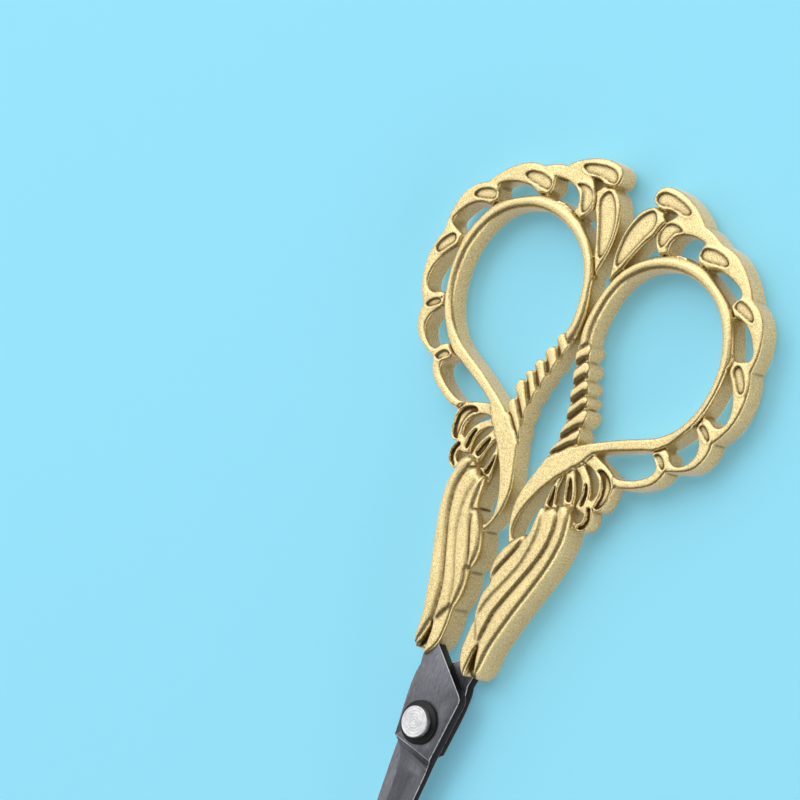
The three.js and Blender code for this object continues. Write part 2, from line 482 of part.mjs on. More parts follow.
// One blade, built as the front blade with its inner face at z = 0. The rear blade is the same
// blade turned half round the Y axis.
function blade(isFront) {
  const wide = SHOULDER_WIDTH / drawnShoulder;
  const flat = ([x, y]) => [x * wide, y];
  const down = ([x, y]) => {
    const stretch = (BLADE_REACH - GRIND_START) / (drawnReach - GRIND_START);
    return [x * wide, y > -GRIND_START ? y : -GRIND_START + (y + GRIND_START) * stretch];
  };
  const away = new THREE.Vector2(1.1, -1.0).setLength(NECK_GAP);
  const neck = NECK_EDGE.map(([x, y]) => {
    const [hx, hy] = onHandle([x, y]);
    return [hx + away.x, hy + away.y];
  });
  const right = SHOULDER_RIGHT.map(flat);
  const left = SHOULDER_LEFT.map(flat);
  const outline = closedChain([
    [neck[0], right[0]],
    right.slice(0, 3),
    [right[2], right[3]],
    SPINE_LINE.map(down),
    EDGE_LINE.map(down),
    left,
    [left[left.length - 1], neck[2]],
    neck.slice().reverse(),
  ], 0.02);
  const plate = toSolid(slab(outline, 0, BLADE_THICKNESS, BLADE_BREAK));
  const tangLow = (BLADE_THICKNESS - TANG_THICKNESS) / 2;
  const tang = toSolid(slab(tangBand(-1, 0, 2.4, 0), tangLow, tangLow + TANG_THICKNESS));

  const bore = RIVET_DIAMETER / 2 + RIVET_CLEARANCE;
  const hole = new THREE.CylinderGeometry(bore, bore, BLADE_THICKNESS + 2, 40).rotateX(Math.PI / 2);
  hole.translate(0, 0, BLADE_THICKNESS / 2);
  const body = plate.add(tang).subtract(toSolid(hole)).subtract(toSolid(grinding(wide)));
  const geometry = toGeometry(body).translate(0, 0, bladeLow);
  return isFront ? geometry : geometry.rotateY(Math.PI);
}

// A solid of revolution about Z from [radius, z] points.
function revolved(profile, segments = 48) {
  const points = profile.map(([radius, z]) => new THREE.Vector2(radius, z));
  return new THREE.LatheGeometry(points, segments).rotateX(Math.PI / 2);
}

function rivet() {
  const headLow = bladeHigh + 2 * SEAT_GAP + WASHER_THICKNESS;
  const headHigh = headLow + HEAD_HEIGHT;
  const tailHigh = -bladeHigh - SEAT_GAP;
  const shaft = RIVET_DIAMETER / 2;
  const head = HEAD_DIAMETER / 2;
  const tail = TAIL_DIAMETER / 2;
  return revolved([
    [0, -tailLow],
    [tail - HEAD_BREAK, -tailLow],
    [tail, -tailLow + HEAD_BREAK],
    [tail, tailHigh],
    [shaft, tailHigh],
    [shaft, headLow],
    [head, headLow],
    [head, headHigh - HEAD_BREAK],
    [head - HEAD_BREAK, headHigh],
    [0, headHigh],
  ]);
}

function washer() {
  const low = bladeHigh + SEAT_GAP;
  const high = low + WASHER_THICKNESS;
  const outer = WASHER_DIAMETER / 2;
  const inner = RIVET_DIAMETER / 2 + RIVET_CLEARANCE;
  return revolved([[inner, low], [outer, low], [outer, high - 0.1], [outer - 0.1, high], [inner, high], [inner, low]]);
}

function piece(name, geometry, finish) {
  const mesh = new THREE.Mesh(geometry, new THREE.MeshStandardMaterial(finish));
  mesh.name = name;
  mesh.position.set(0, pivotY, middleZ);
  return mesh;
}

const scissors = new THREE.Group();
scissors.name = 'embroidery_scissors';
scissors.add(
  piece('left_handle', handle(-1), GOLD),
  piece('right_handle', handle(1), GOLD),
  piece('front_blade', blade(true), STEEL),
  piece('rear_blade', blade(false), STEEL),
  piece('pivot_rivet', rivet(), BRIGHT),
  piece('pivot_washer', washer(), BLACK),
);

export default scissors;
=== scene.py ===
"""Small embroidery scissors: two cast gold handles, two dark steel blades and a bright turned rivet.

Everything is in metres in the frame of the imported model. The drawings below are in millimetres from the pivot
axis, on the plane between the two blades, with the finger rings toward +Y.
"""
import json
import logging
import math
from contextlib import contextmanager
from dataclasses import dataclass
from enum import Enum
from typing import Callable, Iterator

import bmesh
import bpy
import numpy as np
from mathutils import Matrix, Vector


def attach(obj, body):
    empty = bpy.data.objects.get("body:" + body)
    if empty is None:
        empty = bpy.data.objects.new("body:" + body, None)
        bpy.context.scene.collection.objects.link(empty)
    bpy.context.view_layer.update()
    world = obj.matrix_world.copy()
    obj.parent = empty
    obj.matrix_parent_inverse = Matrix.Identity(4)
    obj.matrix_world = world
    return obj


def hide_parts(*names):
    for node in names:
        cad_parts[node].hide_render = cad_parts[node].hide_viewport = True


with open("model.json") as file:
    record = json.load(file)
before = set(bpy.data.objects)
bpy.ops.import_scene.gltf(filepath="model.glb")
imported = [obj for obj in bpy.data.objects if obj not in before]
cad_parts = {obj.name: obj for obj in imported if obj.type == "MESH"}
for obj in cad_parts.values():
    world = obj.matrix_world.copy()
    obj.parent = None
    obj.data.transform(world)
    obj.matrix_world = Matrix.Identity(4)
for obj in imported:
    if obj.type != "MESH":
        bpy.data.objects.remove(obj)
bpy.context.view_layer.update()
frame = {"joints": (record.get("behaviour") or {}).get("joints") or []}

MM = 0.001
HINGE = frame["joints"][0]
PIVOT = Vector(HINGE["pos_m"])

log = logging.getLogger("scissors")

Points = list[list[float]]
Runs = list[Points]
Skin = tuple[np.ndarray, np.ndarray, dict[str, np.ndarray]]
Color = tuple[float, float, float, float]
Triple = tuple[float, float, float]
Socket = bpy.types.NodeSocket
Value = Socket | float | tuple
Inputs = dict[str | int, Value]

# Edges sharper than SHARP_ANGLE are rounded, and a face is a wall where its normal's Z is under WALL_LEAN.
SHARP_ANGLE = math.radians(33)
WALL_LEAN = 0.5
SMOOTH_ANGLE = math.radians(40)
TURN_STEPS = 96
MERGE_DISTANCE = 1e-7

# How often the grid of the casting is searched for folds, and the value that fills them.
FILL_ROUNDS = 3
BARELY_INSIDE = -1e-3


class Side(Enum):
    """Which half of the scissors a piece belongs to, as the sign of X of its finger ring."""

    LEFT = -1
    RIGHT = 1


# The right handle. Each run is one smooth curve, and runs meet in corners.
OUTER_RUNS: Runs = [
    [[6.65, 11.5], [6.75, 13.0], [7.05, 14.9], [8.4, 19.8], [9.95, 24.5], [11.05, 28.3], [11.55, 32.0],
     [11.25, 34.6]],
    [[11.25, 34.6], [12.2, 34.45], [13.2, 34.9], [13.75, 35.8], [13.85, 36.8], [13.6, 37.7], [13.2, 38.2]],
    [[13.2, 38.2], [13.9, 38.05], [14.6, 38.45], [15.05, 39.3], [15.25, 40.5], [15.35, 42.15]],
    [[15.35, 42.15], [16.7, 42.55], [18.5, 43.2], [20.2, 44.1], [21.5, 45.1], [22.3, 46.3], [22.65, 47.35]],
    [[22.65, 47.35], [24.3, 48.0], [25.8, 48.7], [26.9, 49.6], [27.7, 50.9], [28.1, 52.3], [28.1, 53.7]],
    [[28.1, 53.7], [29.3, 55.5], [30.1, 57.4], [30.48, 59.5], [30.43, 61.5], [30.1, 63.2], [29.5, 64.75]],
    [[29.5, 64.75], [29.65, 66.4], [29.5, 68.2], [29.0, 70.1], [28.15, 71.7], [26.85, 72.95], [25.25, 73.8]],
    [[25.25, 73.8], [24.4, 75.0], [23.1, 76.4], [21.6, 77.6], [20.1, 78.45], [18.6, 78.95], [17.0, 79.1]],
    [[17.0, 79.1], [15.8, 79.65], [14.5, 80.15], [13.2, 80.4]],
    [[13.2, 80.4], [12.0, 81.4], [10.2, 82.45], [8.2, 83.2], [6.2, 83.52], [4.4, 83.3], [3.35, 82.5],
     [3.1, 81.4], [3.4, 80.6], [4.0, 80.2]],
    [[4.0, 80.2], [2.6, 79.3], [1.6, 78.1], [0.95, 76.4], [0.6, 74.6], [0.5, 72.8], [0.65, 71.0], [1.0, 69.3],
     [1.3, 67.8], [1.1, 66.2], [0.6, 64.4], [0.25, 62.5], [0.15, 60.8], [0.3, 59.0], [0.7, 57.2],
     [1.5, 54.8], [2.4, 51.9], [3.1, 49.3], [3.45, 47.2], [3.4, 45.3], [2.95, 42.9], [2.1, 40.0],
     [1.25, 37.4], [0.7, 34.9], [0.8, 32.4], [1.35, 30.4], [2.3, 28.5]],
    [[2.3, 28.5], [1.9, 27.4], [1.5, 26.2], [1.35, 25.0], [1.5, 23.7], [2.0, 22.4]],
    [[2.0, 22.4], [1.7, 21.2], [1.55, 20.0], [1.6, 18.6], [1.85, 17.4], [2.25, 16.3]],
    [[2.25, 16.3], [2.0, 14.6], [1.95, 13.0], [2.1, 11.6], [2.6, 10.35], [3.3, 9.4], [3.95, 8.8]],
    [[3.95, 8.8], [4.6, 9.0], [5.3, 8.95]],
    [[5.3, 8.95], [6.0, 9.3], [6.45, 10.2], [6.65, 11.5]],
]
FINGER_HOLE: Runs = [
    [[2.6, 58.8], [2.3, 59.8], [2.15, 61.2], [2.35, 63.5], [2.9, 66.0], [3.9, 68.3], [5.2, 70.0], [6.9, 71.4],
     [8.9, 72.4], [11.0, 73.0], [13.2, 73.2], [15.5, 72.95], [17.7, 72.2], [19.8, 71.0], [21.5, 69.3],
     [22.8, 67.2], [23.7, 64.8], [24.1, 62.3], [24.05, 60.0], [23.6, 57.6], [22.6, 55.2], [21.1, 53.0],
     [19.1, 51.3], [17.0, 50.25], [15.0, 49.4], [13.0, 48.5], [11.0, 47.5], [9.0, 46.5], [6.85, 45.2]],
    [[6.85, 45.2], [6.95, 46.0], [6.8, 46.8], [6.35, 47.5]],
    [[6.35, 47.5], [6.75, 48.6], [6.8, 49.6], [6.4, 50.3], [5.85, 50.35]],
    [[5.85, 50.35], [6.0, 50.8], [6.0, 51.4], [5.7, 51.9], [5.1, 52.1]],
    [[5.1, 52.1], [5.25, 52.6], [5.15, 53.3], [4.7, 53.9], [4.1, 54.1]],
    [[4.1, 54.1], [4.25, 54.8], [4.15, 55.6], [3.7, 56.2], [3.1, 56.5]],
    [[3.1, 56.5], [3.15, 57.0], [3.2, 57.6], [3.05, 58.3], [2.6, 58.8]],
]
BORDER_AND_FLOWER_HOLES: list[Runs] = [
    [[[2.65, 69.9], [3.3, 70.6], [4.5, 71.9], [6.0, 73.05], [7.5, 74.1]],
     [[7.5, 74.1], [6.8, 74.8], [6.35, 75.5], [5.85, 76.4]],
     [[5.85, 76.4], [4.9, 75.1], [4.2, 73.8], [3.4, 72.1], [2.65, 69.9]]],
    [[[5.75, 79.9], [6.7, 80.35], [8.05, 80.2]],
     [[8.05, 80.2], [7.3, 79.4], [6.7, 78.7]],
     [[6.7, 78.7], [6.1, 79.2], [5.75, 79.9]]],
    [[[9.1, 74.75], [8.8, 75.5], [9.0, 76.6], [9.7, 77.6], [10.8, 78.15], [12.2, 78.4], [14.2, 78.25]],
     [[14.2, 78.25], [13.95, 77.4], [13.85, 76.4], [14.3, 75.35]],
     [[14.3, 75.35], [12.8, 75.4], [11.0, 75.3], [9.1, 74.75]]],
    [[[16.0, 75.0], [17.6, 75.5], [19.4, 75.5], [21.3, 75.0], [22.7, 74.3], [23.1, 73.6], [22.6, 72.7],
      [22.1, 71.75]],
     [[22.1, 71.75], [21.0, 72.45], [19.4, 73.35], [17.7, 74.2], [16.0, 75.0]]],
    [[[23.15, 70.7], [24.4, 70.65], [25.7, 70.25], [26.9, 69.4], [27.9, 68.1], [28.5, 66.9], [28.3, 66.1],
      [27.2, 65.6], [25.9, 65.3]],
     [[25.9, 65.3], [25.3, 66.5], [24.4, 68.5], [23.15, 70.7]]],
    [[[25.75, 63.8], [26.6, 62.8], [27.6, 61.5], [28.4, 60.0], [28.8, 58.5], [28.75, 57.2], [28.2, 56.25],
      [27.2, 56.0], [26.1, 56.45], [24.9, 56.6]],
     [[24.9, 56.6], [25.35, 58.6], [25.65, 60.8], [25.75, 63.8]]],
    [[[24.2, 54.7], [25.1, 53.8], [25.9, 52.7], [26.1, 51.3], [25.6, 50.1], [24.7, 49.2], [23.6, 48.75],
      [22.7, 49.0], [22.1, 49.75], [20.95, 50.35]],
     [[20.95, 50.35], [21.6, 51.0], [22.6, 52.3], [24.2, 54.7]]],
    [[[10.1, 45.2], [11.7, 44.75], [13.1, 44.3], [14.3, 43.8], [15.3, 43.65], [16.4, 43.85], [17.8, 44.35],
      [19.2, 45.1], [20.3, 46.0], [20.8, 47.0], [20.4, 47.9], [19.1, 49.05]],
     [[19.1, 49.05], [17.9, 48.75], [16.0, 47.95], [14.0, 47.15], [12.0, 46.25], [10.1, 45.2]]],
    [[[5.6, 39.5], [5.3, 37.8], [5.15, 35.8], [5.2, 33.6], [5.1, 31.8], [4.95, 30.9]],
     [[4.95, 30.9], [4.3, 30.7], [3.6, 30.1], [2.85, 29.4]],
     [[2.85, 29.4], [2.25, 30.4], [2.15, 31.9], [2.45, 33.5], [3.2, 35.5], [4.3, 37.7], [5.6, 39.5]]],
    [[[6.75, 40.9], [6.4, 39.6], [6.5, 38.2], [6.95, 36.6]],
     [[6.95, 36.6], [7.7, 36.3], [8.4, 36.5]],
     [[8.4, 36.5], [7.9, 37.7], [7.5, 39.2], [6.75, 40.9]]],
    [[[7.85, 42.2], [8.9, 41.8], [9.9, 40.8], [10.5, 39.4], [10.5, 38.2], [10.35, 37.5], [10.9, 37.1],
      [11.5, 37.0], [12.05, 36.95], [12.25, 36.2], [11.9, 35.65], [11.3, 35.4]],
     [[11.3, 35.4], [10.75, 36.1], [10.2, 36.95]],
     [[10.2, 36.95], [9.95, 37.6], [9.75, 38.6], [9.2, 39.9], [7.85, 42.2]]],
    [[[8.95, 43.35], [10.2, 43.35], [11.6, 42.7], [12.6, 41.6], [12.95, 40.3], [12.6, 39.2]],
     [[12.6, 39.2], [12.1, 39.3], [11.9, 40.2], [11.2, 41.5], [10.1, 42.5], [8.95, 43.35]]],
]

# The bundle of feather strands, the smooth core that runs on below it, and the notch between their tips.
BUNDLE_RUNS: Runs = [
    OUTER_RUNS[0],
    [[11.25, 34.6], [10.9, 36.0], [10.2, 36.95], [9.3, 37.2], [8.5, 36.8], [8.2, 36.1]],
    [[8.2, 36.1], [7.4, 36.1], [6.5, 35.4]],
    [[6.5, 35.4], [5.95, 35.6], [5.5, 35.3], [5.3, 34.4], [5.2, 33.0], [5.1, 31.8], [4.95, 30.9]],
    [[4.95, 30.9], [4.3, 30.6], [3.4, 29.8], [2.4, 28.4], [1.9, 27.4], [1.5, 26.2], [1.35, 25.0], [1.5, 23.7],
     [2.0, 22.4]],
    [[2.0, 22.4], [1.7, 21.2], [1.55, 20.0], [1.6, 18.6], [1.85, 17.4], [2.25, 16.3]],
    [[2.25, 16.3], [2.75, 15.9], [3.3, 14.95], [3.9, 14.0], [4.45, 13.35]],
    [[4.45, 13.35], [4.7, 12.6], [5.0, 11.5], [5.35, 10.5], [5.75, 9.65]],
    [[5.75, 9.65], [6.15, 9.8], [6.45, 10.4], [6.65, 11.5]],
]
CORE_RUNS: Runs = [
    [[2.5, 18.5], [2.05, 16.0], [1.95, 13.0], [2.1, 11.6], [2.6, 10.35], [3.3, 9.4], [3.95, 8.8]],
    [[3.95, 8.8], [4.05, 9.6], [4.1, 11.0], [4.2, 12.5], [4.45, 13.6]],
    [[4.45, 13.6], [5.6, 16.0], [7.0, 18.5]],
    [[7.0, 18.5], [2.5, 18.5]],
]
END_NOTCH: Points = [
    [3.95, 8.4], [4.05, 9.6], [4.1, 11.0], [4.2, 12.5], [4.4, 13.3], [4.7, 12.6], [5.0, 11.5], [5.35, 10.5],
    [5.75, 9.5], [5.9, 8.4],
]

# Seams between the feather strands from the top down, each with how deep it falls, in millimetres.
FEATHER_SEAMS: list[tuple[Points, float]] = [
    ([[5.0, 31.6], [4.95, 30.9], [4.65, 29.0], [3.85, 27.0], [2.95, 25.0], [2.0, 22.4], [1.8, 21.9]], 0.45),
    ([[5.9, 35.9], [6.0, 35.4], [6.45, 34.1], [6.85, 32.6], [6.95, 31.4], [6.75, 29.2], [6.25, 26.8],
      [5.4, 24.7], [4.5, 22.7], [3.65, 20.9], [3.05, 19.2], [2.7, 17.7], [2.25, 16.3], [2.0, 15.7]], 0.3),
    ([[7.9, 36.7], [8.2, 36.1], [8.95, 34.7], [9.3, 33.0], [9.25, 31.0], [8.8, 28.8], [8.2, 27.0],
      [7.4, 25.0], [6.6, 23.0], [5.8, 21.0], [5.1, 19.0], [4.83, 17.5], [4.65, 16.0], [4.45, 14.4],
      [4.4, 13.2]], 0.55),
]

# Where each strand of the rope overlaps the one above, from the ring's hole down to the outer edge.
ROPE_LINES: Runs = [
    [[4.1, 58.9], [2.6, 58.8], [2.1, 58.5], [1.2, 57.7], [0.3, 56.8], [-0.4, 56.0]],
    [[4.8, 56.6], [3.1, 56.5], [2.5, 56.1], [1.9, 55.2], [1.2, 54.3], [0.6, 53.4]],
    [[5.8, 54.2], [4.1, 54.1], [3.5, 53.6], [2.9, 52.7], [2.2, 51.9], [1.5, 51.0]],
    [[6.8, 52.2], [5.1, 52.1], [4.5, 51.6], [3.8, 50.6], [3.0, 49.7], [2.2, 48.7]],
    [[7.6, 50.5], [5.85, 50.35], [5.3, 49.8], [4.5, 48.6], [3.5, 47.2], [2.6, 46.1]],
    [[8.0, 47.7], [6.35, 47.5], [5.6, 46.9], [4.7, 45.9], [3.5, 44.5], [2.6, 43.3]],
    [[8.4, 46.8], [6.85, 45.2], [5.8, 44.6], [4.6, 43.5], [3.1, 42.2], [2.0, 41.2]],
]

# Stippled pockets in the leaf, the petals and the border curls.
POCKETS: Runs = [
    [[3.8, 81.4], [4.25, 82.15], [5.2, 82.5], [7.0, 82.42], [9.0, 81.95], [10.15, 81.35], [9.9, 80.85],
     [9.0, 80.65], [7.6, 80.8], [6.3, 80.85], [5.0, 80.6], [4.1, 80.7]],
    [[4.2, 79.4], [2.95, 78.6], [1.9, 77.0], [1.25, 75.0], [1.05, 73.0], [1.2, 71.2], [1.7, 70.3],
     [2.4, 71.4], [3.4, 73.6], [4.4, 75.7], [5.1, 77.2], [5.1, 78.5]],
    [[9.95, 78.5], [9.2, 78.85], [8.2, 78.9], [7.2, 78.5], [6.6, 77.6], [6.55, 76.5], [6.9, 75.6],
     [7.5, 75.2], [7.95, 75.8], [8.3, 76.8], [8.8, 77.8], [9.5, 78.2]],
    [[14.35, 76.8], [14.6, 77.5], [15.6, 77.85], [17.0, 77.9], [18.5, 77.6], [19.3, 76.95], [18.9, 76.45],
     [17.0, 76.2], [15.3, 76.0], [14.6, 76.2]],
    [[22.85, 72.2], [23.1, 72.85], [23.8, 73.0], [24.8, 72.8], [25.9, 72.25], [26.6, 71.4], [26.4, 71.0],
     [25.3, 71.15], [24.0, 71.5], [23.1, 71.75]],
    [[26.75, 64.1], [27.1, 64.8], [27.7, 64.75], [28.6, 63.9], [29.3, 62.8], [29.5, 61.9], [29.2, 61.5],
     [28.7, 61.55], [27.9, 62.5], [27.1, 63.4]],
    [[25.05, 55.1], [25.3, 55.5], [26.0, 55.35], [26.8, 54.8], [27.3, 54.1], [27.2, 53.75], [26.7, 53.8],
     [25.9, 54.3], [25.3, 54.7]],
    [[20.0, 48.75], [20.3, 49.15], [21.0, 49.1], [21.7, 48.6], [22.15, 47.9], [21.95, 47.5], [21.5, 47.6],
     [20.9, 48.0], [20.3, 48.35]],
]

# The flower lies lower than the ring's branch that crosses over its petals.
FLOWER_BED: Points = [
    [4.6, 33.0], [4.75, 36.0], [5.6, 39.5], [6.75, 40.9], [7.85, 42.2], [8.95, 43.35], [10.1, 45.0],
    [12.0, 45.2], [13.6, 44.2], [14.5, 43.4], [15.1, 42.5], [16.4, 41.6], [16.4, 34.0],
]

# Hollows in the two spears, the tendril, the crescent petal and the hook.
FLOWER_HOLLOWS: Runs = [
    [[5.85, 38.7], [5.75, 37.4], [5.85, 36.1], [6.2, 35.9], [6.6, 36.1], [6.25, 37.6]],
    [[7.8, 40.7], [7.75, 40.2], [7.95, 39.1], [8.4, 37.9], [8.8, 37.6], [9.25, 37.9], [8.9, 39.1],
     [8.3, 40.2]],
    [[10.6, 40.9], [10.85, 39.6], [10.9, 38.3], [11.2, 37.8], [11.55, 38.3], [11.45, 39.7], [11.0, 40.7]],
    [[11.7, 43.3], [12.6, 42.8], [13.3, 41.8], [13.6, 40.5], [13.5, 39.0], [13.4, 38.5], [13.9, 38.45],
     [14.4, 38.9], [14.75, 39.7], [14.9, 40.9], [14.7, 42.1], [13.9, 43.1], [12.5, 43.65]],
    [[12.4, 37.9], [12.75, 37.2], [12.9, 36.4], [12.65, 35.6], [12.1, 35.0], [12.3, 34.75], [13.0, 35.1],
     [13.35, 35.8], [13.45, 36.6], [13.2, 37.5], [12.8, 38.1]],
]

# Parting lines where curls, petals and flower touch the smooth ring and each other.
PARTINGS: Runs = [
    [[5.85, 76.4], [6.1, 77.4], [6.7, 78.7]],
    [[5.75, 79.9], [4.9, 79.95], [4.0, 80.2]],
    [[7.5, 74.1], [8.3, 74.35], [9.1, 74.75]],
    [[14.3, 75.35], [15.1, 75.3], [16.0, 75.0]],
    [[22.1, 71.75], [22.7, 71.3], [23.15, 70.7]],
    [[25.9, 65.3], [25.9, 64.5], [25.75, 63.8]],
    [[24.9, 56.6], [24.65, 55.7], [24.2, 54.7]],
    [[20.95, 50.35], [20.1, 49.65], [19.1, 49.05]],
    [[2.65, 69.9], [2.0, 68.8], [1.45, 67.4]],
]

# The front blade, with its neck and the end that the casting hides. The rear blade is the same one turned
# half round the Y axis.
SHOULDER_RIGHT: Points = [[4.5, 6.1], [4.9, 5.6], [5.0, 4.9], [4.05, -3.9]]
SHOULDER_LEFT: Points = [[-3.4, -3.1], [-3.95, 1.5], [-4.15, 4.4], [-4.1, 6.3], [-3.85, 7.4]]
NECK: list[float] = [-4.1, 8.7]
HIDDEN_END: Points = [[-2.9, 11.8], [-4.3, 9.9]]
SPINE_LINE: Points = [
    [4.05, -3.9], [3.75, -9.0], [3.3, -15.0], [2.75, -22.0], [2.05, -30.0], [1.2, -38.0], [0.0, -43.2],
]
EDGE_LINE: Points = [
    [0.0, -43.2], [-0.45, -38.0], [-0.85, -30.0], [-1.2, -22.0], [-1.5, -15.0], [-1.75, -9.0], [-2.1, -5.9],
    [-2.8, -4.3], [-3.4, -3.1],
]
EDGE_HEEL = EDGE_LINE[5]


def spline(points: Points, spacing: float, closed: bool = False) -> np.ndarray:
    """Passes a smooth curve through given points.

    Args:
        points: the points, each with two or more numbers; the first two are its place.
        spacing: the longest step between the points of the result, in millimetres.
        closed: whether the curve runs back to its first point.

    Returns:
        The points of the curve, one row each, with as many numbers as the points given.
    """
    given = np.array(points, float)
    if len(given) == 2 and not closed:
        return given
    count = len(given)
    spans = count if closed else count - 1
    rows = []
    for i in range(spans):
        picks = [i - 1, i, i + 1, i + 2]
        a, b, c, d = (given[k % count if closed else min(max(k, 0), count - 1)] for k in picks)
        steps = max(2, math.ceil(float(np.hypot(*(c - b)[:2])) / spacing))
        t = np.linspace(0, 1, steps, endpoint=False)[:, None]
        in_slope, out_slope = (c - a) / 2, (d - b) / 2
        rows.append((2 * t**3 - 3 * t**2 + 1) * b + (t**3 - 2 * t**2 + t) * in_slope
                    + (3 * t**2 - 2 * t**3) * c + (t**3 - t**2) * out_slope)
    if not closed:
        rows.append(given[-1:])
    return np.vstack(rows)


def chain(runs: Runs, spacing: float) -> np.ndarray:
    """Joins smooth runs end to end into one closed outline.

    Args:
        runs: the runs, each starting where the one before ends.
        spacing: the longest step between points, in millimetres.

    Returns:
        The outline's points, one row each, without the first one repeated.
    """
    return np.vstack([spline(run, spacing)[:-1] for run in runs])


def ease(value: np.ndarray) -> np.ndarray:
    """A smooth step from 0 to 1 while the value runs from 0 to 1."""
    t = np.clip(value, 0, 1)
    return t * t * (3 - 2 * t)


def rounded_fall(value: np.ndarray) -> np.ndarray:
    """A quarter round that falls from 1 at 0, steeply at first, to 0 at 1 and beyond."""
    return 1 - np.sqrt(1 - (1 - np.clip(value, 0, 1)) ** 2)


def soften(height: np.ndarray) -> np.ndarray:
    """Takes the steps of the grid out of steep lines by averaging each point with its neighbours.

    Args:
        height: the heights on the grid.

    Returns:
        The averaged heights.
    """
    for axis in (0, 1):
        height = 0.5 * height + 0.25 * (np.roll(height, 1, axis) + np.roll(height, -1, axis))
    return height


@dataclass
class Nearest:
    """What a grid knows of one line: how far away it is, and on which side of it each point lies."""

    distance: np.ndarray
    side: np.ndarray


@dataclass
class Sheet:
    """A flat grid over one handle, on which distances to its outlines and lines are measured.

    Sizes are in millimetres.
    """

    low: tuple[float, float]
    high: tuple[float, float]
    step: float
    reach: float = 2.6

    def __post_init__(self) -> None:
        """Lays out the grid lines."""
        self.x = np.arange(self.low[0], self.high[0] + self.step, self.step)
        self.y = np.arange(self.low[1], self.high[1] + self.step, self.step)

    def nearest(self, line: np.ndarray, closed: bool = False) -> Nearest:
        """Measures every grid point within reach against a line.

        Args:
            line: the line's points, one row each.
            closed: whether the line runs back to its first point.

        Returns:
            The distances, no more than the reach, with the side: 1 to the right of the line's run, and -1 to
            its left.
        """
        shape = (len(self.x), len(self.y))
        distance = np.full(shape, self.reach)
        side = np.ones(shape)
        start = line[:, :2]
        end = np.roll(start, -1, axis=0) if closed else start[1:]
        start = start if closed else start[:-1]
        lengths = np.hypot(*(end - start).T)
        for (ax, ay), (bx, by), length in zip(start, end, lengths):
            if length == 0:
                continue
            i0, i1 = np.searchsorted(self.x, [min(ax, bx) - self.reach, max(ax, bx) + self.reach])
            j0, j1 = np.searchsorted(self.y, [min(ay, by) - self.reach, max(ay, by) + self.reach])
            px = self.x[i0:i1, None] - ax
            py = self.y[None, j0:j1] - ay
            ux, uy = (bx - ax) / length, (by - ay) / length
            t = np.clip(px * ux + py * uy, 0, length)
            off = np.hypot(px - t * ux, py - t * uy)
            window = (slice(i0, i1), slice(j0, j1))
            closer = off < distance[window]
            distance[window] = np.where(closer, off, distance[window])
            turn = np.where(px * uy - py * ux >= 0, 1.0, -1.0)
            side[window] = np.where(closer, turn, side[window])
        return Nearest(distance, side)

    def inside(self, loops: list[np.ndarray]) -> np.ndarray:
        """Tells which grid points lie inside an outline less its holes.

        Args:
            loops: the outline and its holes, in any order.

        Returns:
            True at each grid point that an odd number of the loops surround.
        """
        crossings = np.zeros((len(self.x), len(self.y)), int)
        for loop in loops:
            for (ax, ay), (bx, by) in zip(loop[:, :2], np.roll(loop[:, :2], -1, axis=0)):
                if ay == by:
                    continue
                rows = (self.y > min(ay, by)) & (self.y <= max(ay, by))
                meets = ax + (self.y[rows] - ay) * (bx - ax) / (by - ay)
                crossings[:, rows] += self.x[:, None] < meets[None, :]
        return crossings % 2 == 1

    def outline(self, loops: list[np.ndarray]) -> np.ndarray:
        """Signed distance to an outline with holes, negative in the material.

        Args:
            loops: the outline and its holes.

        Returns:
            The distance at each grid point, no more than the reach either way.
        """
        distance = np.min([self.nearest(loop, closed=True).distance for loop in loops], axis=0)
        return np.where(self.inside(loops), -distance, distance)


def untangle(field: np.ndarray) -> None:
    """Fills grid points where two folds of the skin would meet along one edge.

    Filling one place can make another, so the grid is gone over more than once.

    Args:
        field: the values at the grid points, changed in place.
    """
    for axis in [0, 1, 2] * FILL_ROUNDS:
        inside = field < 0
        views = [np.moveaxis(grid, axis, 2) for grid in (field, inside)]
        a, b, c, d = (views[1][i:views[1].shape[0] - 1 + i, j:views[1].shape[1] - 1 + j]
                      for i, j in ((0, 0), (1, 0), (1, 1), (0, 1)))
        for i, j, k in zip(*np.nonzero((a == c) & (b == d) & (a != b))):
            values = views[0][i:i + 2, j:j + 2, k]
            if (values[0, 0] < 0) == (values[1, 1] < 0) != (values[0, 1] < 0):
                open_values = np.where(values < 0, np.inf, values)
                values[np.unravel_index(open_values.argmin(), (2, 2))] = BARELY_INSIDE


